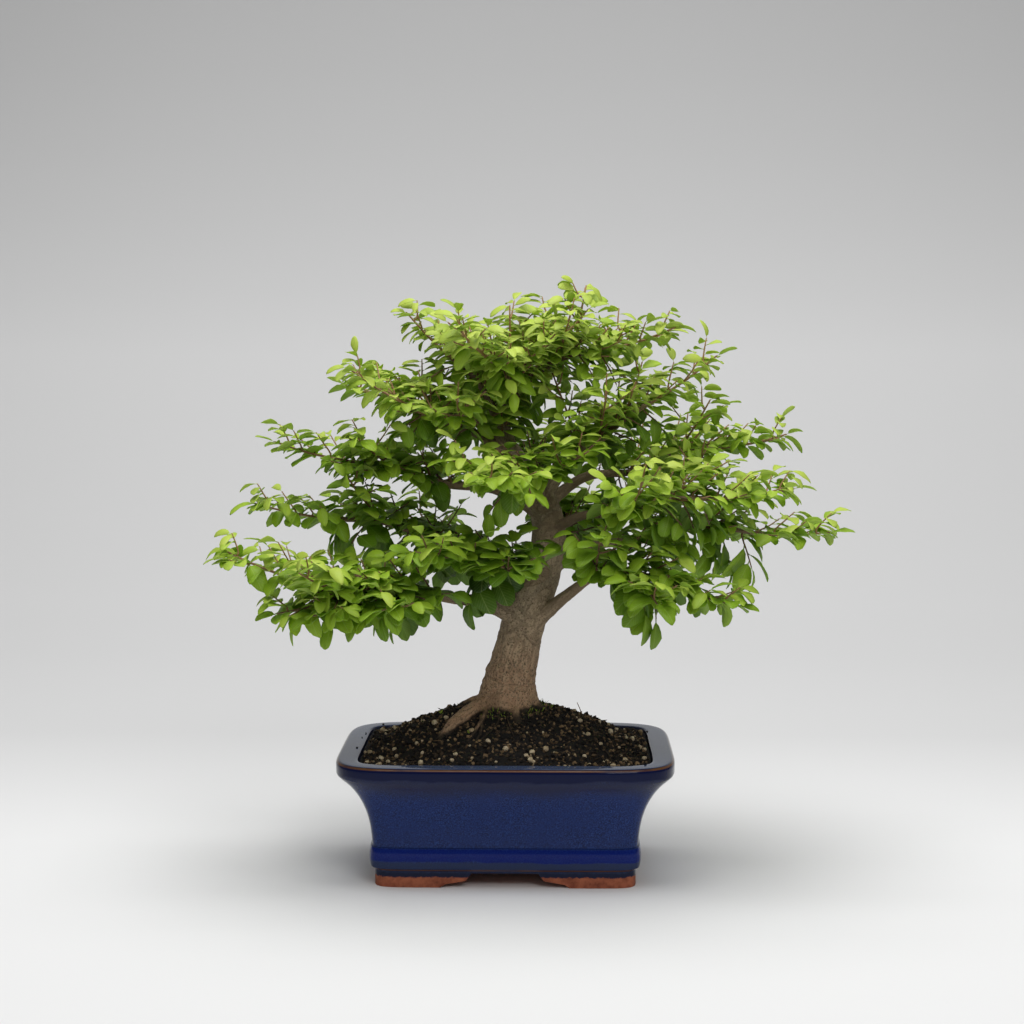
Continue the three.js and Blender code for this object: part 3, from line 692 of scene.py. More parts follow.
# The share of fresh blades in front of the trunk, and elsewhere.
FRESH_SHARES = (0.24, 0.05)
MOSS_BLACK = (0.006, 0.008, 0.003)
MOSS_OLIVE = (0.030, 0.044, 0.010)
MOSS_FRESH = (0.30, 0.40, 0.035)
# Where each sprout stands, from the trunk, and how tall it is.
SPROUTS = (
    (0.022, -0.004, 0.0062), (-0.021, -0.035, 0.0026), (-0.0395, -0.004, 0.0034), (-0.030, 0.012, 0.0030),
)


def damp_moss():
    shade = Shade("damp_moss")
    mottled = shade.read("tone") + shade.grain(900) * 0.2
    colour = shade.stops(mottled, (0.25, MOSS_BLACK), (0.72, MOSS_OLIVE), (1.05, MOSS_FRESH))
    return shade.finish(colour, 0.7)


def make_moss():
    blade = bmesh.new()
    bmesh.ops.create_cone(blade, cap_ends=True, segments=4, radius1=1, radius2=0.25, depth=1)
    bmesh.ops.translate(blade, vec=(0, 0, 0.5), verts=blade.verts)
    fill_layer(blade, "tone", 0.0)
    shape = as_data(blade, "blade")
    moss = bmesh.new()
    layer_of(moss, "tone")

    def add_blade(x, y, height, tone, lean):
        x, y = POT_MIDDLE.x + x, POT_MIDDLE.y + y
        forward, aside = soil_draw.gauss(0, lean), soil_draw.gauss(0, lean)
        tilt = Matrix.Rotation(forward, 4, "X") @ Matrix.Rotation(aside, 4, "Y")
        thick = soil_between(*BLADE_THICKNESS)
        place = moved(x, y, heap_at(x, y) - BLADE_SUNK) @ tilt @ sized(thick, 0.6 * thick, height)
        scatter(shape, place, moss, tone=tone)

    for _ in range(MOSS_BLADES):
        turn, near = soil_between(0, math.tau), soil_draw.random()
        out = MOSS_RING[1] + (MOSS_RING[0] - MOSS_RING[1]) * near
        fresh = soil_draw.random() < FRESH_SHARES[0 if math.sin(turn) < -0.6 else 1]
        height = BLADE_HEIGHTS[fresh] + BLADE_HEIGHTS[2] * near * soil_draw.random()
        tone = soil_between(0.7, 1.0) if fresh else soil_between(0.1, 0.55)
        add_blade(out * math.cos(turn), out * math.sin(turn), height, tone, 0.5)
    for x, y, height in SPROUTS:
        for _ in range(7):
            add_blade(x, y, height * soil_between(0.6, 1), 0.9 - 0.5 * (x > 0), 0.4)
    piece = as_piece(moss, "moss", damp_moss())
    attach(piece, "root")


make_moss()

# The wood: trunk, surface roots and limbs, grown as one piece. Each is a tapered round that follows a route
# of points along the real one. Where two meet, the wood swells into a collar. The bark is grey and lightly
# fissured, and pinkish at the foot. Higher up it is painted lighter, to make up for the canopy's shade.

# The routes, in millimetres: a girth at foot and tip, or all along, and then points from the pot's middle.
TRUNK = (
    (20, 20, 18, 15.8, 14.3, 13.2, 13.2, 11.6, 10.6, 10, 9.4, 8.2, 7.4, 6, 4.6, 3.2, 1.8),
    (0, 0, 80), (1, 0, 95), (1, 0, 106), (2, 0, 115), (4.5, 0, 125), (8, 0, 141), (12, 0, 157),
    (20, 2, 176), (24, 4, 191), (25.5, 5, 206), (21, 5, 222), (11, 3, 239), (1, 0, 253), (-4, 0, 268),
    (-1, 2, 282), (5, 4, 294), (11, 4, 305),
)
ROOTS = (
    (
        (6.5, 4.6, 5, 4, 3.8), (-5, -3, 104), (-15, -11, 101.5), (-22.5, -20, 97.5), (-31, -27.5, 92.5),
        (-38.5, -33.5, 82),
    ),
    ((2.4, 1.8, 1.5, 1), (-12, -10, 101), (-13, -24, 96.2), (-17, -34, 91.2), (-23, -42, 83.5)),
    ((7, 4.2, 2.2), (-6, 0, 102), (-23, 5, 98), (-36, 9, 90)),
    ((7, 4, 2.2), (6, -1, 101), (22, -6, 96), (34, -10, 88)),
    ((7, 3.8, 2), (2, -6, 101), (6, -22, 95), (10, -32, 87)),
    ((7, 4, 2), (4, 6, 101), (14, 22, 95), (20, 32, 87)),
    ((7, 4, 2), (-3, 6, 101), (-13, 22, 96), (-19, 32, 88)),
)
LIMBS = {
    "low_left": (
        (6, 1.6), (8, 0, 152), (-14, -12, 163), (-40, -27, 169), (-66, -33, 175), (-92, -42, 172),
        (-118, -40, 179),
    ),
    "low_left_back": (
        (4.4, 1.4), (16, 2, 176), (-14, 16, 191), (-44, 30, 196), (-76, 30, 207), (-106, 24, 210),
    ),
    "inner_left": ((3.4, 1.3), (20, 2, 180), (0, -18, 190), (-20, -38, 192)),
    "low_right": ((5.6, 1.3), (13, 0, 146), (36, -14, 168), (58, -24, 183), (78, -34, 184), (94, -40, 178)),
    "low_right_back": (
        (5, 1.4), (23, 3, 180), (50, 14, 194), (84, 28, 197), (118, 32, 205), (150, 26, 202),
    ),
    "right_front": (
        (4, 1.3), (25, 4, 204), (45, -18, 216), (72, -38, 219), (98, -42, 228), (122, -38, 228),
    ),
    "left_mid": ((5.4, 1.5), (22, 5, 216), (-8, 8, 230), (-38, 18, 232), (-68, 16, 242), (-94, 12, 246)),
    "right_limb": ((5.8, 1.6), (20, 5, 224), (38, -5, 248), (56, -13, 261), (72, -14, 275), (86, -12, 283)),
    "right_back": ((4.4, 1.4), (22, 6, 220), (48, 26, 236), (78, 46, 238), (106, 52, 250), (126, 46, 252)),
    "left_upper": ((4.6, 1.4), (4, 1, 248), (-18, -8, 264), (-38, -18, 271), (-56, -16, 280)),
    "left_back": ((4, 1.3), (0, 0, 254), (-18, 24, 268), (-40, 44, 276), (-62, 54, 280)),
    "front": ((3.8, 1.2), (21, 4, 222), (18, -28, 240), (6, -58, 240)),
    "back": ((4, 1.3), (16, 5, 230), (16, 34, 246), (6, 62, 248)),
    "low_back": ((4.2, 1.3), (24, 5, 194), (38, 36, 206), (44, 66, 206)),
    "crown_left": ((3.4, 1.2), (-4, 1, 270), (-18, -6, 296), (-32, -4, 308)),
    "crown_front": ((3.2, 1.2), (-1, 2, 276), (2, -24, 300), (-8, -42, 308)),
    "crown_right": ((3.2, 1.2), (3, 4, 286), (32, -6, 308), (60, -12, 314)),
    "crown_back": ((3, 1.2), (5, 4, 292), (22, 30, 306), (30, 46, 312)),
}
# Fine roots and bare twigs: the girth, and then how far along, back and above the soil their points lie.
FINE_ROOTS = (
    ((1.1, 0.8, 0.4), (-15, -24, 2), (-14.2, -36, 0.8), (-21.5, -48, -0.8)),
    ((0.6, 0.4), (-3, -25, 1), (-7, -35, 1.2), (-15.5, -42, -0.4)),
    ((0.5, 0.3), (0.5, -24, 1), (3, -35, 1.4), (6.5, -43, -0.4)),
    ((0.5, 0.3), (56, -33, -1), (60, -37, 1), (63, -46, -0.6)),
    ((0.4, 0.2), (47, -6, -2), (44.5, -6, 5), (42.5, -7, 9.2)),
    ((0.35, 0.2), (51, -8, -1), (53, -8, 2.6), (55.6, -9, 4)),
)
# How a limb thins, how far its collar reaches and swells, and how far it sinks at the collar's end.
LIMB_TAPER = 2.4
COLLAR_SHARE = 0.22
COLLAR_SWELL = 1.25
COLLAR_SINK = 0.86
BUTTRESSES = 5
BUTTRESS_SWELL = 0.1
BUTTRESS_SHARE = 0.12
VOXEL = 0.0009
KNOB_HEIGHT = 0.0005
FURROW_DEPTH = 0.00035
# Wood looks young as its radius falls from the second to the first, and damp up to a height over the soil.
YOUNG_RADIUS = (0.0013, 0.0055)
DAMP_HEIGHT = 0.007
DAMP_TOP = 0.13
FULL_RELIEF = 0.010
BARK_LIGHT = (0.41, 0.320, 0.205)
BARK_GREY = (0.240, 0.185, 0.115)
BARK_DARK = (0.042, 0.028, 0.017)
BARK_PINK = (0.45, 0.255, 0.145)
BARK_DAMP = (0.010, 0.008, 0.005)
BARK_TWIG = (0.20, 0.125, 0.070)

UP = Vector((0, 0, 1))
pot_foot = Vector((POT_MIDDLE.x, POT_MIDDLE.y, 0))


def clamped(number):
    return max(0.0, min(1.0, number))


class Route:
    """A smooth curve through points, as a centripetal spline, with the wood's radius along it."""

    def __init__(self, girth, points):
        self.points = [Vector(point) for point in points]
        self.girth = girth

    def at(self, share):
        place = share * (len(self.points) - 1)
        i = min(int(place), len(self.points) - 2)
        w = place - i
        near, far = self.points[i], self.points[i + 1]
        before = self.points[i - 1] if i else 2 * near - far
        after = self.points[i + 2] if i + 2 < len(self.points) else 2 * far - near
        d0, d1, d2 = [(b - a).length ** 0.5 for a, b in ((before, near), (near, far), (far, after))]
        leave = ((near - before) / d0 - (far - before) / (d0 + d1) + (far - near) / d1) * d1
        arrive = ((far - near) / d1 - (after - near) / (d1 + d2) + (after - far) / d2) * d1
        bend = 3 * (far - near) - 2 * leave - arrive
        return near + leave * w + bend * w * w + (2 * (near - far) + leave + arrive) * w**3

    def tangent(self, share):
        return (self.at(min(share + 0.0001, 1)) - self.at(max(share - 0.0001, 0))).normalized()

    def radius(self, share):
        place = share * (len(self.girth) - 1)
        i = min(int(place), len(self.girth) - 2)
        return self.girth[i] + (self.girth[i + 1] - self.girth[i]) * (place - i)

    def length(self):
        return sum((b - a).length for a, b in zip(self.points, self.points[1:]))

    def frames(self, steps, last=1.0):
        """Places along the route, each with two ways across it that don't twist from one to the next."""
        across = Vector((0, 1, 0.2))
        for k in range(steps + 1):
            share = last * k / steps
            tangent = self.tangent(share)
            across = (across - tangent * across.dot(tangent)).normalized()
            yield share, self.at(share), across, tangent.cross(across)


def metres(item):
    """Turns a table of millimetres into one of metres."""
    return [metres(part) for part in item] if isinstance(item, tuple) else item / 1000


def planted(girth, *points):
    return Route(girth, [pot_foot + Vector(point) for point in points])


def slender(base, tip):
    """A limb's girth thins fast from its collar, then slowly."""
    return [tip + (base - tip) * (1 - k / 12) ** LIMB_TAPER for k in range(13)]


def on_soil(across, back, rise):
    soil = heap_at(POT_MIDDLE.x + across, POT_MIDDLE.y + back)
    return pot_foot + Vector((across, back, 0)) + UP * (soil + rise)


trunk = planted(*metres(TRUNK))
roots = [planted(*root) for root in metres(ROOTS)]
fine_roots = [Route(girth, [on_soil(*point) for point in points]) for girth, *points in metres(FINE_ROOTS)]
limbs = {}
for limb_name, limb_table in LIMBS.items():
    limb_girth, *limb_points = metres(limb_table)
    limbs[limb_name] = planted(slender(*limb_girth), *limb_points)


def add_tube(mesh, route, sides, steps, swell=lambda share, angle: 1, last=1.0):
    """Adds a tapered round along a route, with closed ends."""
    turn = layer_of(mesh, "turn")
    ring = bmesh.ops.create_circle(mesh, segments=sides, radius=1)["verts"]
    foot = list(dict.fromkeys(edge for vert in ring for edge in vert.link_edges))
    edges = foot
    for vert in ring:
        vert[turn] = math.atan2(vert.co.y, vert.co.x)
    for share, centre, across, beside in route.frames(steps, last):
        if share > 0:
            edges, ring = carry_on(mesh, edges)
        for vert in ring:
            radius = route.radius(share) * swell(share, vert[turn])
            vert.co = centre + radius * (across * math.cos(vert[turn]) + beside * math.sin(vert[turn]))
    bmesh.ops.edgenet_fill(mesh, edges=foot)
    bmesh.ops.edgenet_fill(mesh, edges=edges)


def buttressed(share, angle):
    low = max(0.0, 1 - share / BUTTRESS_SHARE)
    return 1 + BUTTRESS_SWELL * low * math.cos(BUTTRESSES * angle)


def collared(share, angle):
    """Swells a limb where it leaves the trunk, and sinks it under its own bark at the collar's end."""
    return COLLAR_SINK + (COLLAR_SWELL - COLLAR_SINK) * max(0.0, 1 - share / COLLAR_SHARE) ** 1.6


class Grain:
    """Finds where a point of the bark lies: along which route, and on which side of it."""

    def __init__(self, routes, pace=0.0012):
        self.rows = []
        for route in routes:
            steps = int(route.length() / pace)
            along = 0.0
            for share, centre, across, beside in route.frames(steps):
                self.rows.append((centre, across, beside, along, route.radius(share)))
                along += route.length() / steps
        self.tree = KDTree(len(self.rows))
        for i, row in enumerate(self.rows):
            self.tree.insert(row[0], i)
        self.tree.balance()

    def at(self, point):
        """A place whose third number runs along the wood, slowly, and the wood's radius there."""
        near = self.tree.find_n(point, 3)
        centre, across, beside, along, radius = min(
            (self.rows[i] for _, i, _ in near), key=lambda row: (point - row[0]).length / row[4]
        )
        out = point - centre
        return Vector((out.dot(across), out.dot(beside), 0.3 * along)), radius


def weather(mesh, grain):
    """Raises the knobs and furrows of the bark, and notes what its colour goes by."""
    mesh.normal_update()
    places = mesh.verts.layers.float_vector.new("grain")
    young = layer_of(mesh, "young")
    damp = layer_of(mesh, "damp")
    for vert in mesh.verts:
        place, radius = grain.at(vert.co)
        vert[places] = place
        vert[young] = clamped((YOUNG_RADIUS[1] - radius) / (YOUNG_RADIUS[1] - YOUNG_RADIUS[0]))
        above = vert.co.z - heap_at(vert.co.x, vert.co.y)
        vert[damp] = clamped(1 - above / DAMP_HEIGHT) if vert.co.z < DAMP_TOP else 0.0
        knob = noise.noise(vert.co * 110) + 0.6 * noise.noise(vert.co * 240)
        knob += 2.2 * max(0.0, noise.noise(vert.co * 400) - 0.25)
        furrow = noise.noise(place * 420) - 0.8 * abs(noise.noise(place * 230))
        relief = 0.3 + 0.7 * (min(radius, FULL_RELIEF) / FULL_RELIEF)
        vert.co += vert.normal * relief * (KNOB_HEIGHT * knob + FURROW_DEPTH * furrow)


def elm_bark():
    shade = Shade("grey_elm_bark")
    height = shade.axis("Z")
    along = shade.read("grain", "Vector")
    streaks = shade.grain(800, 4, 0.66, along) * 0.5 + shade.grain(1000, 3, 0.6) * 0.5
    pits = shade.cells(520).spread(0.10, 0.34)
    cracks = shade.cells(360, along).spread(0.45, 0.62)
    ragged = shade.read("damp") + shade.grain(260, 3) * 0.5
    colour = shade.coats(
        shade.stops(streaks, (0.36, BARK_DARK), (0.46, BARK_GREY), (0.60, BARK_LIGHT)),
        (shade.grain(95, 3, 0.6).spread(0.40, 0.62, 0.0, 0.45), BARK_GREY),
        (pits.spread(0, 1, 0.85, 0.0), BARK_DARK),
        (cracks * 0.45, BARK_DARK),
        (height.spread(0.165, 0.100, 0.0, 0.65) * streaks.spread(0.38, 0.55), BARK_PINK),
        # Painted light: from 0.11 m up the bark is painted lighter, to make up for the canopy's shade.
        (height.spread(0.11, 0.20, 0.0, 0.40), BARK_LIGHT),
        (shade.read("young") * 0.7, BARK_TWIG),
        (ragged.spread(0.72, 1.05, 0.0, 0.92), BARK_DAMP),
    )
    relief = streaks + pits * 0.35 - cracks * 0.3
    return shade.finish(colour, 0.82, relief, 0.0012, 0.75, Specular_IOR_Level=0.3)


def make_wood():
    core = bmesh.new()
    add_tube(core, trunk, 28, 110, buttressed)
    for root in roots:
        add_tube(core, root, 14, 30)
    for limb in limbs.values():
        add_tube(core, limb, 14, 20, collared, COLLAR_SHARE)
    stump = as_piece(face_out(core), "wood_core")
    remesh = stump.modifiers.new("grow_together", "REMESH")
    remesh.mode = "VOXEL"
    remesh.voxel_size = VOXEL
    ease = stump.modifiers.new("ease", "SMOOTH")
    ease.factor = 0.5
    ease.iterations = 5
    settled(stump)
    wood = bmesh.new()
    wood.from_mesh(stump.data)
    bpy.data.objects.remove(stump)
    rounds = bmesh.new()
    for limb in limbs.values():
        add_tube(rounds, limb, 14, 64)
    for root in fine_roots:
        add_tube(rounds, root, 6, 14)
    wood.from_mesh(as_data(face_out(rounds), "rounds"))
    weather(wood, Grain([trunk, *roots, *limbs.values(), *fine_roots]))
    piece = as_piece(wood, "trunk_and_limbs", elm_bark())
    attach(piece, "root")
    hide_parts("wood")


make_wood()

# The leafy shoots: each limb carries side shoots, and each of those carries shoots of its own. Young wood
# is thin and tan. Leaves stand on it in two rows, turned up to the light: oval, toothed, folded along the
# midrib, bright where they are new and deep green where they are old. High and far out they are also
# painted lighter, as painted light, and low near the trunk darker, as painted shade.
SPRAYS = {
    "low_left": ((-114, 84, -78), 0.046),
    "low_left_back": ((82, -60), 0.046),
    "inner_left": ((-105,), 0.040),
    "low_right": ((72, -74, 105), 0.042),
    "low_right_back": ((-82, 60), 0.044),
    "right_front": ((74, -60), 0.044),
    "left_mid": ((82, -76), 0.044),
    "right_limb": ((72, -68), 0.042),
    "right_back": ((-80, 55), 0.044),
    "left_upper": ((-76, 68), 0.040),
    "left_back": ((78, -74), 0.040),
    "front": ((-80, 80), 0.040),
    "back": ((78,), 0.040),
    "low_back": ((-78, 78), 0.040),
    "crown_left": ((70,), 0.034),
    "crown_front": ((-72, 60), 0.034),
    "crown_right": ((66, -75), 0.038),
    "crown_back": ((-70,), 0.034),
    "crown_top": ((-80, 78), 0.034),
}
# The share of a limb that bears its main shoots, and of the trunk's top.
LEAFY = (0.38, 0.90)
LEAFY_TOP = (0.84, 0.97)
# Where a limb that is bare near the trunk starts to bear short shoots.
BARE_SHARE = {
    "low_left": 0.42, "low_right": 0.54, "right_front": 0.48, "low_right_back": 0.46, "left_mid": 0.44,
}
# The limb that bears no hanging shoots, and is seen from below.
BARE_BELOW = "left_mid"
# Long shoots under the lowest limb and tall ones at the top: how far along, roll, angle and reach.
EXTRA_SHOOTS = {
    "low_left": ((0.56, -140, 28, 0.058), (0.84, -165, 28, 0.036)),
    "right_limb": ((0.36, 0, 84, 0.044),),
    "crown_right": ((0.66, 0, 66, 0.036),),
    "crown_front": ((0.42, 0, 42, 0.038),),
}
SPRAY_ANGLE = 56
SPRAY_LIFT = 0.12
EXTRA_LIFT = 0.05
SHOOT_FOOT = 0.002
SHOOT_PACE = 0.0036
# A shoot's girth at its foot and its tip.
END_GIRTH = (0.0012, 0.0005)
SPRAY_GIRTH = (0.0011, 0.0005)
SHORT_GIRTH = (0.0008, 0.0004)
HANGING_GIRTH = (0.0007, 0.0004)
SIDE_GIRTH = (0.0007, 0.00035)
# Leaves stand closer together toward the tip of a shoot.
TIP_CROWDING = 0.72
LEAF_LENGTH = 0.0165
LEAF_WIDTH = 0.68
LEAF_FOLD = 0.24
LEAF_ARCHES = (0.14, 0.28, 0.42, 0.58)
LEAF_CURLS = (-0.08, 0.09)
LEAF_STALK = 0.14
LEAF_THICKNESS = 0.015
LEAF_TEETH = 0.045
# A leaf's rows, from the foot of its stalk to its tip: how far along, and how wide.
LEAF_ROWS = (
    (-LEAF_STALK, 0.025), (0.0, 0.06), (0.11, 0.50), (0.32, 0.90), (0.55, 1.0), (0.76, 0.90), (0.91, 0.60),
    (1.0, 0.14),
)
# Leaves are smaller high in the tree: from which height on, over what rise, and by how much.
HIGH_LEAVES = (0.20, 0.1, 0.17)
# The canopy's heart, from the trunk's foot, and its reach from there to each side, to the back and up.
CANOPY_HEART = (0.010, 0, 0.205)
CANOPY_REACH = (0.165, 0.105, 0.125)
# How young a leaf is at the least, and what a place far out, an upward heading and a high place add. A low
# place near the trunk takes some of it away. A place far out adds youth and painted light, a high place adds
# painted light, and a low place near the trunk is painted shade.
YOUTH_LEAST = 0.10
FAR_OUT_YOUTH_AND_LIGHT = 0.48
YOUTH_UPWARD = 0.22
HIGH_PAINTED_LIGHT = 0.09
LOW_PAINTED_SHADE = 0.35
LEAF_OLD = (0.028, 0.080, 0.0045)
LEAF_GREEN = (0.190, 0.360, 0.015)
LEAF_NEW = (0.47, 0.68, 0.038)
LEAF_TIP = (0.68, 0.79, 0.130)
LEAF_DULL = (0.55, 0.66, 0.45)
LEAF_VEIN = (0.60, 0.74, 0.22)
LEAF_BELOW = (0.33, 0.45, 0.20)
LEAF_GLOW = (0.55, 0.80, 0.06)
TWIG_OLD = (0.085, 0.052, 0.032)
TWIG_NEW = (0.36, 0.20, 0.075)
TWIG_FLECK = (0.30, 0.24, 0.17)

shoot_draw = random.Random(8)
between = shoot_draw.uniform


def leaf_shape(arch, curl):
    """A leaf of length 1 that starts at the origin and points along Y, with its upper face up."""
    blade = bmesh.new()
    bmesh.ops.create_grid(blade, x_segments=2, y_segments=len(LEAF_ROWS) - 1, size=1)
    for vert in blade.verts:
        row = round((vert.co.y + 1) / 2 * (len(LEAF_ROWS) - 1))
        along, wide = LEAF_ROWS[row]
        side = round(vert.co.x)
        across = 0.5 * LEAF_WIDTH * wide * side * (1 + LEAF_TEETH * (-1) ** row)
        lift = LEAF_FOLD * abs(across) - arch * max(along, 0) ** 2 + 0.02 * side * math.sin(9 * along)
        vert.co = (across + curl * along * along, along + LEAF_STALK, lift + curl * across)
    face_out(blade)
    if sum(face.normal.z for face in blade.faces) < 0:
        bmesh.ops.reverse_faces(blade, faces=blade.faces)
    bmesh.ops.solidify(blade, geom=blade.faces[:], thickness=LEAF_THICKNESS)
    face_out(blade)
    veins = blade.loops.layers.uv.new("veins")
    for face in blade.faces:
        below = 2 if face.normal.z < 0 else 0
        for loop in face.loops:
            loop[veins].uv = (loop.vert.co.x / LEAF_WIDTH + 0.5 + below, loop.vert.co.y / (1 + LEAF_STALK))
        face.smooth = True
    layer_of(blade, "tone")
    layer_of(blade, "young")
    return as_data(blade, "leaf_shape")


def elm_leaf():
    """Soft green, waxed, and lit through from behind. The midrib and its side veins are paler."""
    shade = Shade("elm_leaf")
    veins = shade.add("UVMap")
    veins.uv_map = "veins"
    across, along = [shade.axis(name, veins.outputs[0]) for name in "XY"]
    below = shade.reckon("GREATER_THAN", across, 1.5)
    away = shade.reckon("ABSOLUTE", across - below * 2 - 0.5)
    wave = shade.reckon("SINE", (along - away * 0.75) * 62)
    side_vein = wave.spread(0.72, 1.0) * away.spread(0.48, 0.30, 0.2, 1.0)
    vein = shade.reckon("MAXIMUM", away.spread(0.035, 0.0), side_vein * 0.55)
    mottle = shade.grain(420, 3, 0.6)
    # The young number also holds painted light high and far out in the tree, and painted shade low near the
    # trunk.
    age_with_light = shade.read("young") + (mottle - 0.5) * 0.16
    green = shade.stops(age_with_light, (0.0, LEAF_OLD), (0.38, LEAF_GREEN), (0.74, LEAF_NEW), (1.0, LEAF_TIP))
    dulled = shade.blend(shade.read("tone") * 0.55, green, LEAF_DULL, "MULTIPLY")
    colour = shade.coats(dulled, (vein * 0.40, LEAF_VEIN), (below * 0.30, LEAF_BELOW))
    roughness = below * 0.25 + mottle.spread(0.3, 0.7, 0.38, 0.52)
    leaf = shade.finish(colour, roughness, mottle * 0.2 - vein, 0.0003, 0.5, Specular_IOR_Level=0.42)
    glow = shade.add("BsdfTranslucent", Color=shade.blend(0.55, colour, LEAF_GLOW))
    both = shade.add("MixShader", Fac=0.34)
    shade.join(shade.surface.outputs[0], both.inputs[1])
    shade.join(glow.outputs[0], both.inputs[2])
    shade.join(both.outputs[0], shade.output.inputs["Surface"])
    return leaf


def young_bark():
    shade = Shade("young_elm_bark")
    flecks = shade.cells(900).spread(0.15, 0.35)
    colour = shade.stops(shade.read("young"), (0.0, TWIG_OLD), (1.0, TWIG_NEW))
    colour = shade.blend(flecks.spread(0, 1, 0.35, 0.0), colour, TWIG_FLECK)
    return shade.finish(colour, 0.62, shade.grain(1200, 3), 0.0003, 0.6)


def shoot_route(start, outward, heading, reach, lift, girth):
    def at(share):
        foot = start + outward * 1.5 * SHOOT_FOOT
        return foot + heading * reach * share + UP * lift * reach * share * share

    return Route(girth, [start, start + outward * SHOOT_FOOT, at(0.5), at(1)])


def side_shoot(route, share, roll, angle, reach, lift, girth):
    """The route of a shoot that leaves its parent. The roll turns it round the parent, from its top."""
    tangent = route.tangent(share)
    up = (UP - tangent * tangent.z).normalized()
    outward = Matrix.Rotation(math.radians(roll), 3, tangent) @ up
    opening = math.radians(angle)
    heading = tangent * math.cos(opening) + outward * math.sin(opening)
    start = route.at(share) + outward * 0.7 * route.radius(share)
    return shoot_route(start, outward, heading, reach, lift, girth)


class Foliage:
    """The shoots and leaves of one limb."""

    def __init__(self, shapes):
        self.shapes = shapes
        self.leaves = bmesh.new()
        self.twigs = bmesh.new()
        for layer in ("tone", "young"):
            layer_of(self.leaves, layer)
        self.youth = layer_of(self.twigs, "young")

    def add_leaf(self, foot, heading, normal, size, young):
        beside = heading.cross(normal).normalized()
        turn = Matrix((beside, heading, beside.cross(heading))).transposed().to_4x4()
        shape = shoot_draw.choice(self.shapes)
        from_height, rise, less = HIGH_LEAVES
        size *= 1.06 - less * clamped((foot.z - from_height) / rise)
        long = LEAF_LENGTH * size
        place = moved(*foot) @ turn @ sized(long * (1.32 - 0.60 * young), long, long)
        scatter(shape, place, self.leaves, young=young, tone=shoot_draw.random())

    def add_shoot(self, route, leaves, first, size, young, droop=0.0):
        before = len(self.twigs.verts)
        add_tube(self.twigs, route, 5, 6)
        self.twigs.verts.ensure_lookup_table()
        for vert in self.twigs.verts[before:]:
            vert[self.youth] = clamped(young)
        over = Matrix.Rotation(math.radians(between(-35, 35)), 3, route.tangent(0.5)) @ UP
        for k in range(leaves):
            share = first + (1 - first) * (k / (leaves - 1)) ** TIP_CROWDING
            tangent = route.tangent(share)
            face = (over - tangent * over.dot(tangent)).normalized()
            beside = tangent.cross(face)
            side = 1 if k % 2 else -1
            opening = math.radians(between(-25, 25) if k == leaves - 1 else side * between(40, 75))
            lean = between(-0.30, 0.30)
            heading = tangent * math.cos(opening) + beside * math.sin(opening) + face * lean
            heading.z = min(heading.z, between(-0.15, 0.5))
            heading = (heading - UP * droop * between(0.4, 1.2)).normalized()
            foot = route.at(share)
            normal = face * 0.4 + outside(foot) - tangent * between(0, 0.4)
            normal += beside * between(-0.4, 0.4)
            grown = size * between(0.78, 1.08) * (1 - 0.22 * share**2)
            youth = young + 0.38 * share - 0.10 + between(-0.10, 0.10)
            self.add_leaf(foot, heading, normal, grown, clamped(youth))

    def finish(self, name, leaf_material, twig_material, nodes):
        twigs = as_piece(face_out(self.twigs), "twigs_" + name, twig_material)
        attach(twigs, "root")
        leaves = as_piece(self.leaves, "leaves_" + name, leaf_material)
        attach(leaves, "root")
        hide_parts(*nodes)


def outness(point):
    """How far out and up in the canopy a point lies, from 0 in its heart to 1 at its skin."""
    away = point - (pot_foot + Vector(CANOPY_HEART))
    aside, back, up = CANOPY_REACH
    return math.sqrt((away.x / aside) ** 2 + (away.y / back) ** 2 + (max(away.z, 0) / up) ** 2)


def outside(point):
    """The way that a leaf turns its face: up to the light, and out from the tree."""
    away = point - pot_foot
    return (UP + 0.8 * Vector((away.x, away.y, 0)).normalized()).normalized()


def age_and_light_at(route, share=1):
    """From 0 for old leaves, low and near the trunk, to 1 for new ones at the top or at a limb's end. It
    carries painted light on leaves high and far out, and painted shade on low ones near the trunk, besides
    their age.
    """
    point, heading = route.at(share), route.tangent(share)
    away = point - pot_foot
    # Painted shade on low leaves near the trunk, and painted light on high ones.
    low = clamped((0.215 - away.z) / 0.05) * max(0.0, 1 - math.hypot(away.x, away.y) / 0.11)
    high = clamped((away.z - 0.22) / 0.08)
    youth = YOUTH_LEAST + FAR_OUT_YOUTH_AND_LIGHT * min(1.0, outness(point)) + YOUTH_UPWARD * max(-0.4, heading.z)
    return youth - LOW_PAINTED_SHADE * low + HIGH_PAINTED_LIGHT * high


def grow_spray(foliage, route, reach):
    """A main shoot with its leaves, and shoots that leave it to both sides."""
    foliage.add_shoot(route, 12, 0.28, 1.0, age_and_light_at(route, 0.6))
    for k in range(6):
        share = 0.28 + 0.12 * k
        on_top = k % 3 == 2
        roll = between(-35, 35) if on_top else (1 if k % 2 else -1) * between(50, 100)
        angle = 38 if on_top else SPRAY_ANGLE
        length = reach * between(0.40, 0.62) * (1 - 0.35 * share) * (0.7 if on_top else 1)
        side = side_shoot(route, share, roll, angle, length, between(0.0, 0.25), SIDE_GIRTH)
        foliage.add_shoot(side, 6, 0.34, 0.90, age_and_light_at(side))


def grow_short(foliage, limb, share, upright):
    """A short shoot that stands up on a limb, or spreads to one side of it."""
    roll = between(-50, 50) if upright else shoot_draw.choice((-1, 1)) * between(50, 110)
    angle = between(30, 56)
    reach = between(0.010, 0.021) if upright else between(0.014, 0.027)
    shoot = side_shoot(limb, share, roll, angle, reach, between(0.0, 0.25), SHORT_GIRTH)
    foliage.add_shoot(shoot, 6, 0.32, 0.94, age_and_light_at(shoot))


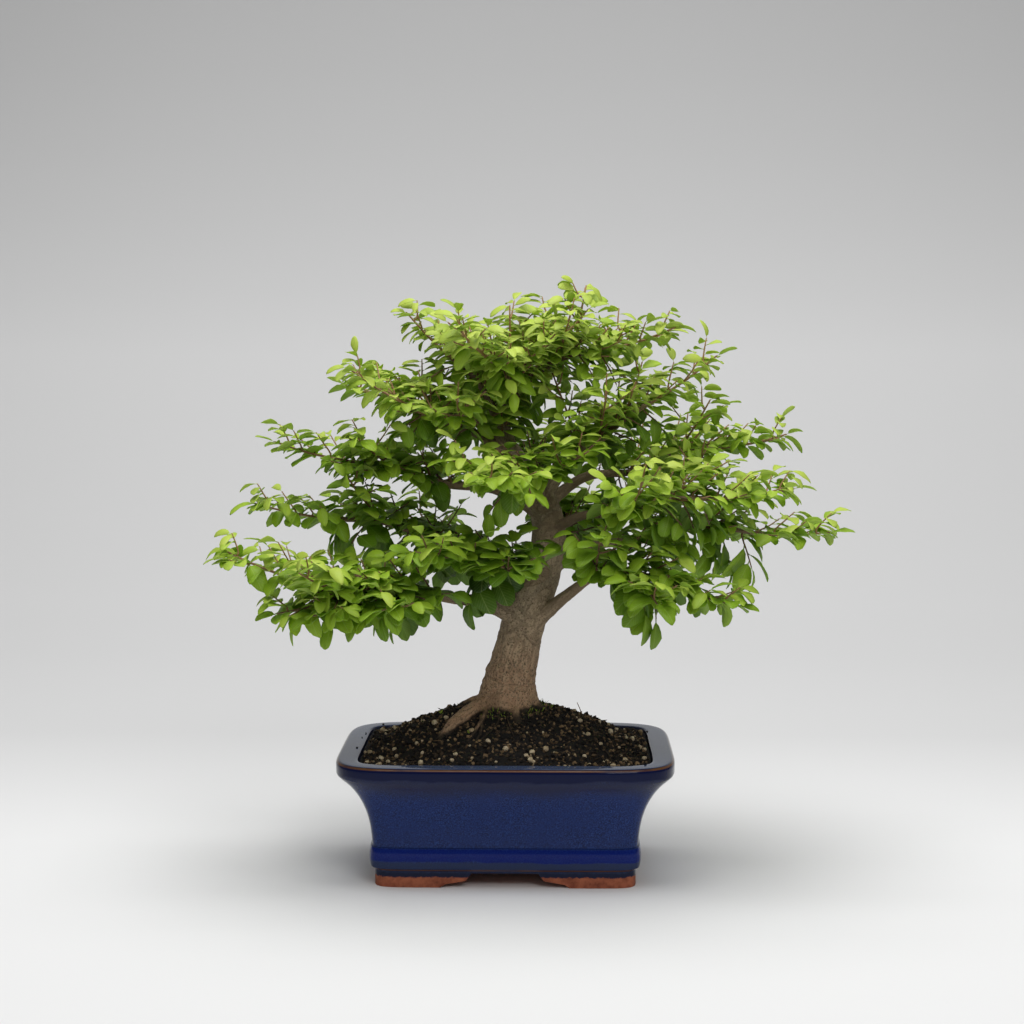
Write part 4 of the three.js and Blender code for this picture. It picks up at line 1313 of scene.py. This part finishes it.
def grow_hanging(foliage, limb, share):
    """A short shoot under a limb, with old broad leaves that hang and face out from the tree."""
    height = limb.at(0.5).z
    size = 1.14 if height < 0.215 else 0.92
    droop = 0.5 if height < 0.245 else 0.15
    roll, reach, lift = 180 + between(-60, 60), between(0.008, 0.018), -between(0.1, 0.5)
    shoot = side_shoot(limb, share, roll, SPRAY_ANGLE, reach, lift, HANGING_GIRTH)
    foliage.add_shoot(shoot, 5, 0.3, size, age_and_light_at(shoot), droop)


def grow_limb(foliage, name, limb, leafy):
    rolls, reach = SPRAYS[name]
    for i, roll in enumerate(rolls):
        share = leafy[0] + (leafy[1] - leafy[0]) * (i + 0.5) / len(rolls)
        side = side_shoot(limb, share, roll, SPRAY_ANGLE, reach, SPRAY_LIFT, SPRAY_GIRTH)
        grow_spray(foliage, side, reach)
    tangent = limb.tangent(1)
    grow_spray(foliage, shoot_route(limb.at(1), tangent, tangent, reach, SPRAY_LIFT, END_GIRTH), reach)
    for share, roll, angle, extra in EXTRA_SHOOTS.get(name, ()):
        grow_spray(foliage, side_shoot(limb, share, roll, angle, extra, EXTRA_LIFT, SPRAY_GIRTH), extra)
    start = BARE_SHARE.get(name, leafy[0] - 0.04)
    count = int(limb.length() * (1 - start) / SHOOT_PACE)
    for k in range(count):
        share = start + (0.98 - start) * k / count
        if k % 4 == 3 and name != BARE_BELOW:
            grow_hanging(foliage, limb, share)
        else:
            grow_short(foliage, limb, share, upright=k % 4 == 1)


def make_foliage():
    shapes = [leaf_shape(arch, curl) for arch in LEAF_ARCHES for curl in LEAF_CURLS]
    leaf_material, twig_material = elm_leaf(), young_bark()
    for name, (rolls, _) in SPRAYS.items():
        on_trunk = name == "crown_top"
        foliage = Foliage(shapes)
        grow_limb(foliage, name, trunk if on_trunk else limbs[name], LEAFY_TOP if on_trunk else LEAFY)
        ends = [*range(1, len(rolls) + 1), "end"]
        foliage.finish(name, leaf_material, twig_material, [f"spray_{name}_{end}" for end in ends])


make_foliage()

# The floor, the light and the camera. The floor is a pale sheet that curves up behind the tree, lit by
# wide soft lamps from above. Its grey is painted on, lighter in front and darker toward the top, as painted
# light and shade. The camera stands where the photograph was taken from.
FLOOR_HALF = 2.5
# The floor's painted light and shade: how far back each grey lies, as a share of the half, and how light it
# is.
FLOOR_PAINTED_SHADING = ((0.02, 0.76), (0.16, 0.63), (0.42, 0.67), (0.70, 0.67), (0.92, 0.46))
FLOOR_BEND = 1.7
FLOOR_BEND_START = 0.8
BACKDROP_RISE = 2.0
ROOM_LIGHT = 0.22
# Where each lamp hangs, what it faces, its two sides and its watts.
LAMPS = {
    "overhead": ((0.0, -0.2, 1.5), (0, 0, 0.1), (1.2, 1.0), 19),
    "front": ((0.7, -1.8, 1.5), (0, 0, 0.2), (0.8, 0.7), 11),
    "backdrop": ((0.0, 0.9, 2.4), (0, 2.3, 0.9), (2.4, 0.8), 28),
}
CAMERA_LENS = 71.37
CAMERA_PITCH = 5.1
CAMERA_YAW = 1.2
CAMERA_AWAY = 1.215
CAMERA_ASIDE = 0.0032
CAMERA_HEIGHT = 0.325


def make_floor():
    floor = bmesh.new()
    bmesh.ops.create_grid(floor, x_segments=1, y_segments=1, size=FLOOR_HALF)
    back = [e for e in floor.edges if min(v.co.y for v in e.verts) > 2]
    for vert in floor.verts:
        vert.co.y = min(vert.co.y, FLOOR_BEND_START)
    for i in range(1, 17):
        angle = math.radians(90 * i / 16)
        back, verts = carry_on(floor, back)
        for vert in verts:
            vert.co.y = FLOOR_BEND_START + FLOOR_BEND * math.sin(angle)
            vert.co.z = FLOOR_BEND - FLOOR_BEND * math.cos(angle)
    back, verts = carry_on(floor, back)
    for vert in verts:
        vert.co.z += BACKDROP_RISE
    shade = Shade("pale_floor_painted_shading")
    backward = shade.axis("Y") * (1 / FLOOR_HALF)
    # Painted light and shade: the floor is painted lighter in front and darker toward the top of the
    # backdrop.
    painted_falloff = shade.stops(backward, *[(place, (light,) * 3) for place, light in FLOOR_PAINTED_SHADING])
    piece = as_piece(face_out(floor), "floor", shade.finish(painted_falloff, 0.8))


def hang_lamps():
    for name, (place, aim, sides, watts) in LAMPS.items():
        lamp = bpy.data.lights.new(name, "AREA")
        lamp.shape = "RECTANGLE"
        lamp.size, lamp.size_y = sides
        lamp.energy = watts
        hung = stood(name, lamp)
        hung.location = place
        hung.rotation_euler = (Vector(aim) - Vector(place)).to_track_quat("-Z", "Y").to_euler()


def make_camera():
    yaw = math.radians(CAMERA_YAW)
    camera = stood("camera", bpy.data.cameras.new("camera"))
    camera.data.lens = CAMERA_LENS
    camera.data.clip_end = 20
    camera.location = (
        POT_MIDDLE.x + CAMERA_ASIDE * math.cos(yaw) + CAMERA_AWAY * math.sin(yaw),
        POT_MIDDLE.y + CAMERA_ASIDE * math.sin(yaw) - CAMERA_AWAY * math.cos(yaw),
        CAMERA_HEIGHT,
    )
    camera.rotation_euler = (math.radians(90 - CAMERA_PITCH), 0, yaw)
    bpy.context.scene.camera = camera


def light_the_room():
    room = bpy.data.worlds.new("room")
    room.use_nodes = True
    sky = room.node_tree.nodes["Background"].inputs
    sky["Color"].default_value = (1, 1, 1, 1)
    sky["Strength"].default_value = ROOM_LIGHT
    bpy.context.scene.world = room
    bpy.context.scene.view_settings.view_transform = "Standard"


make_floor()
hang_lamps()
make_camera()
light_the_room()
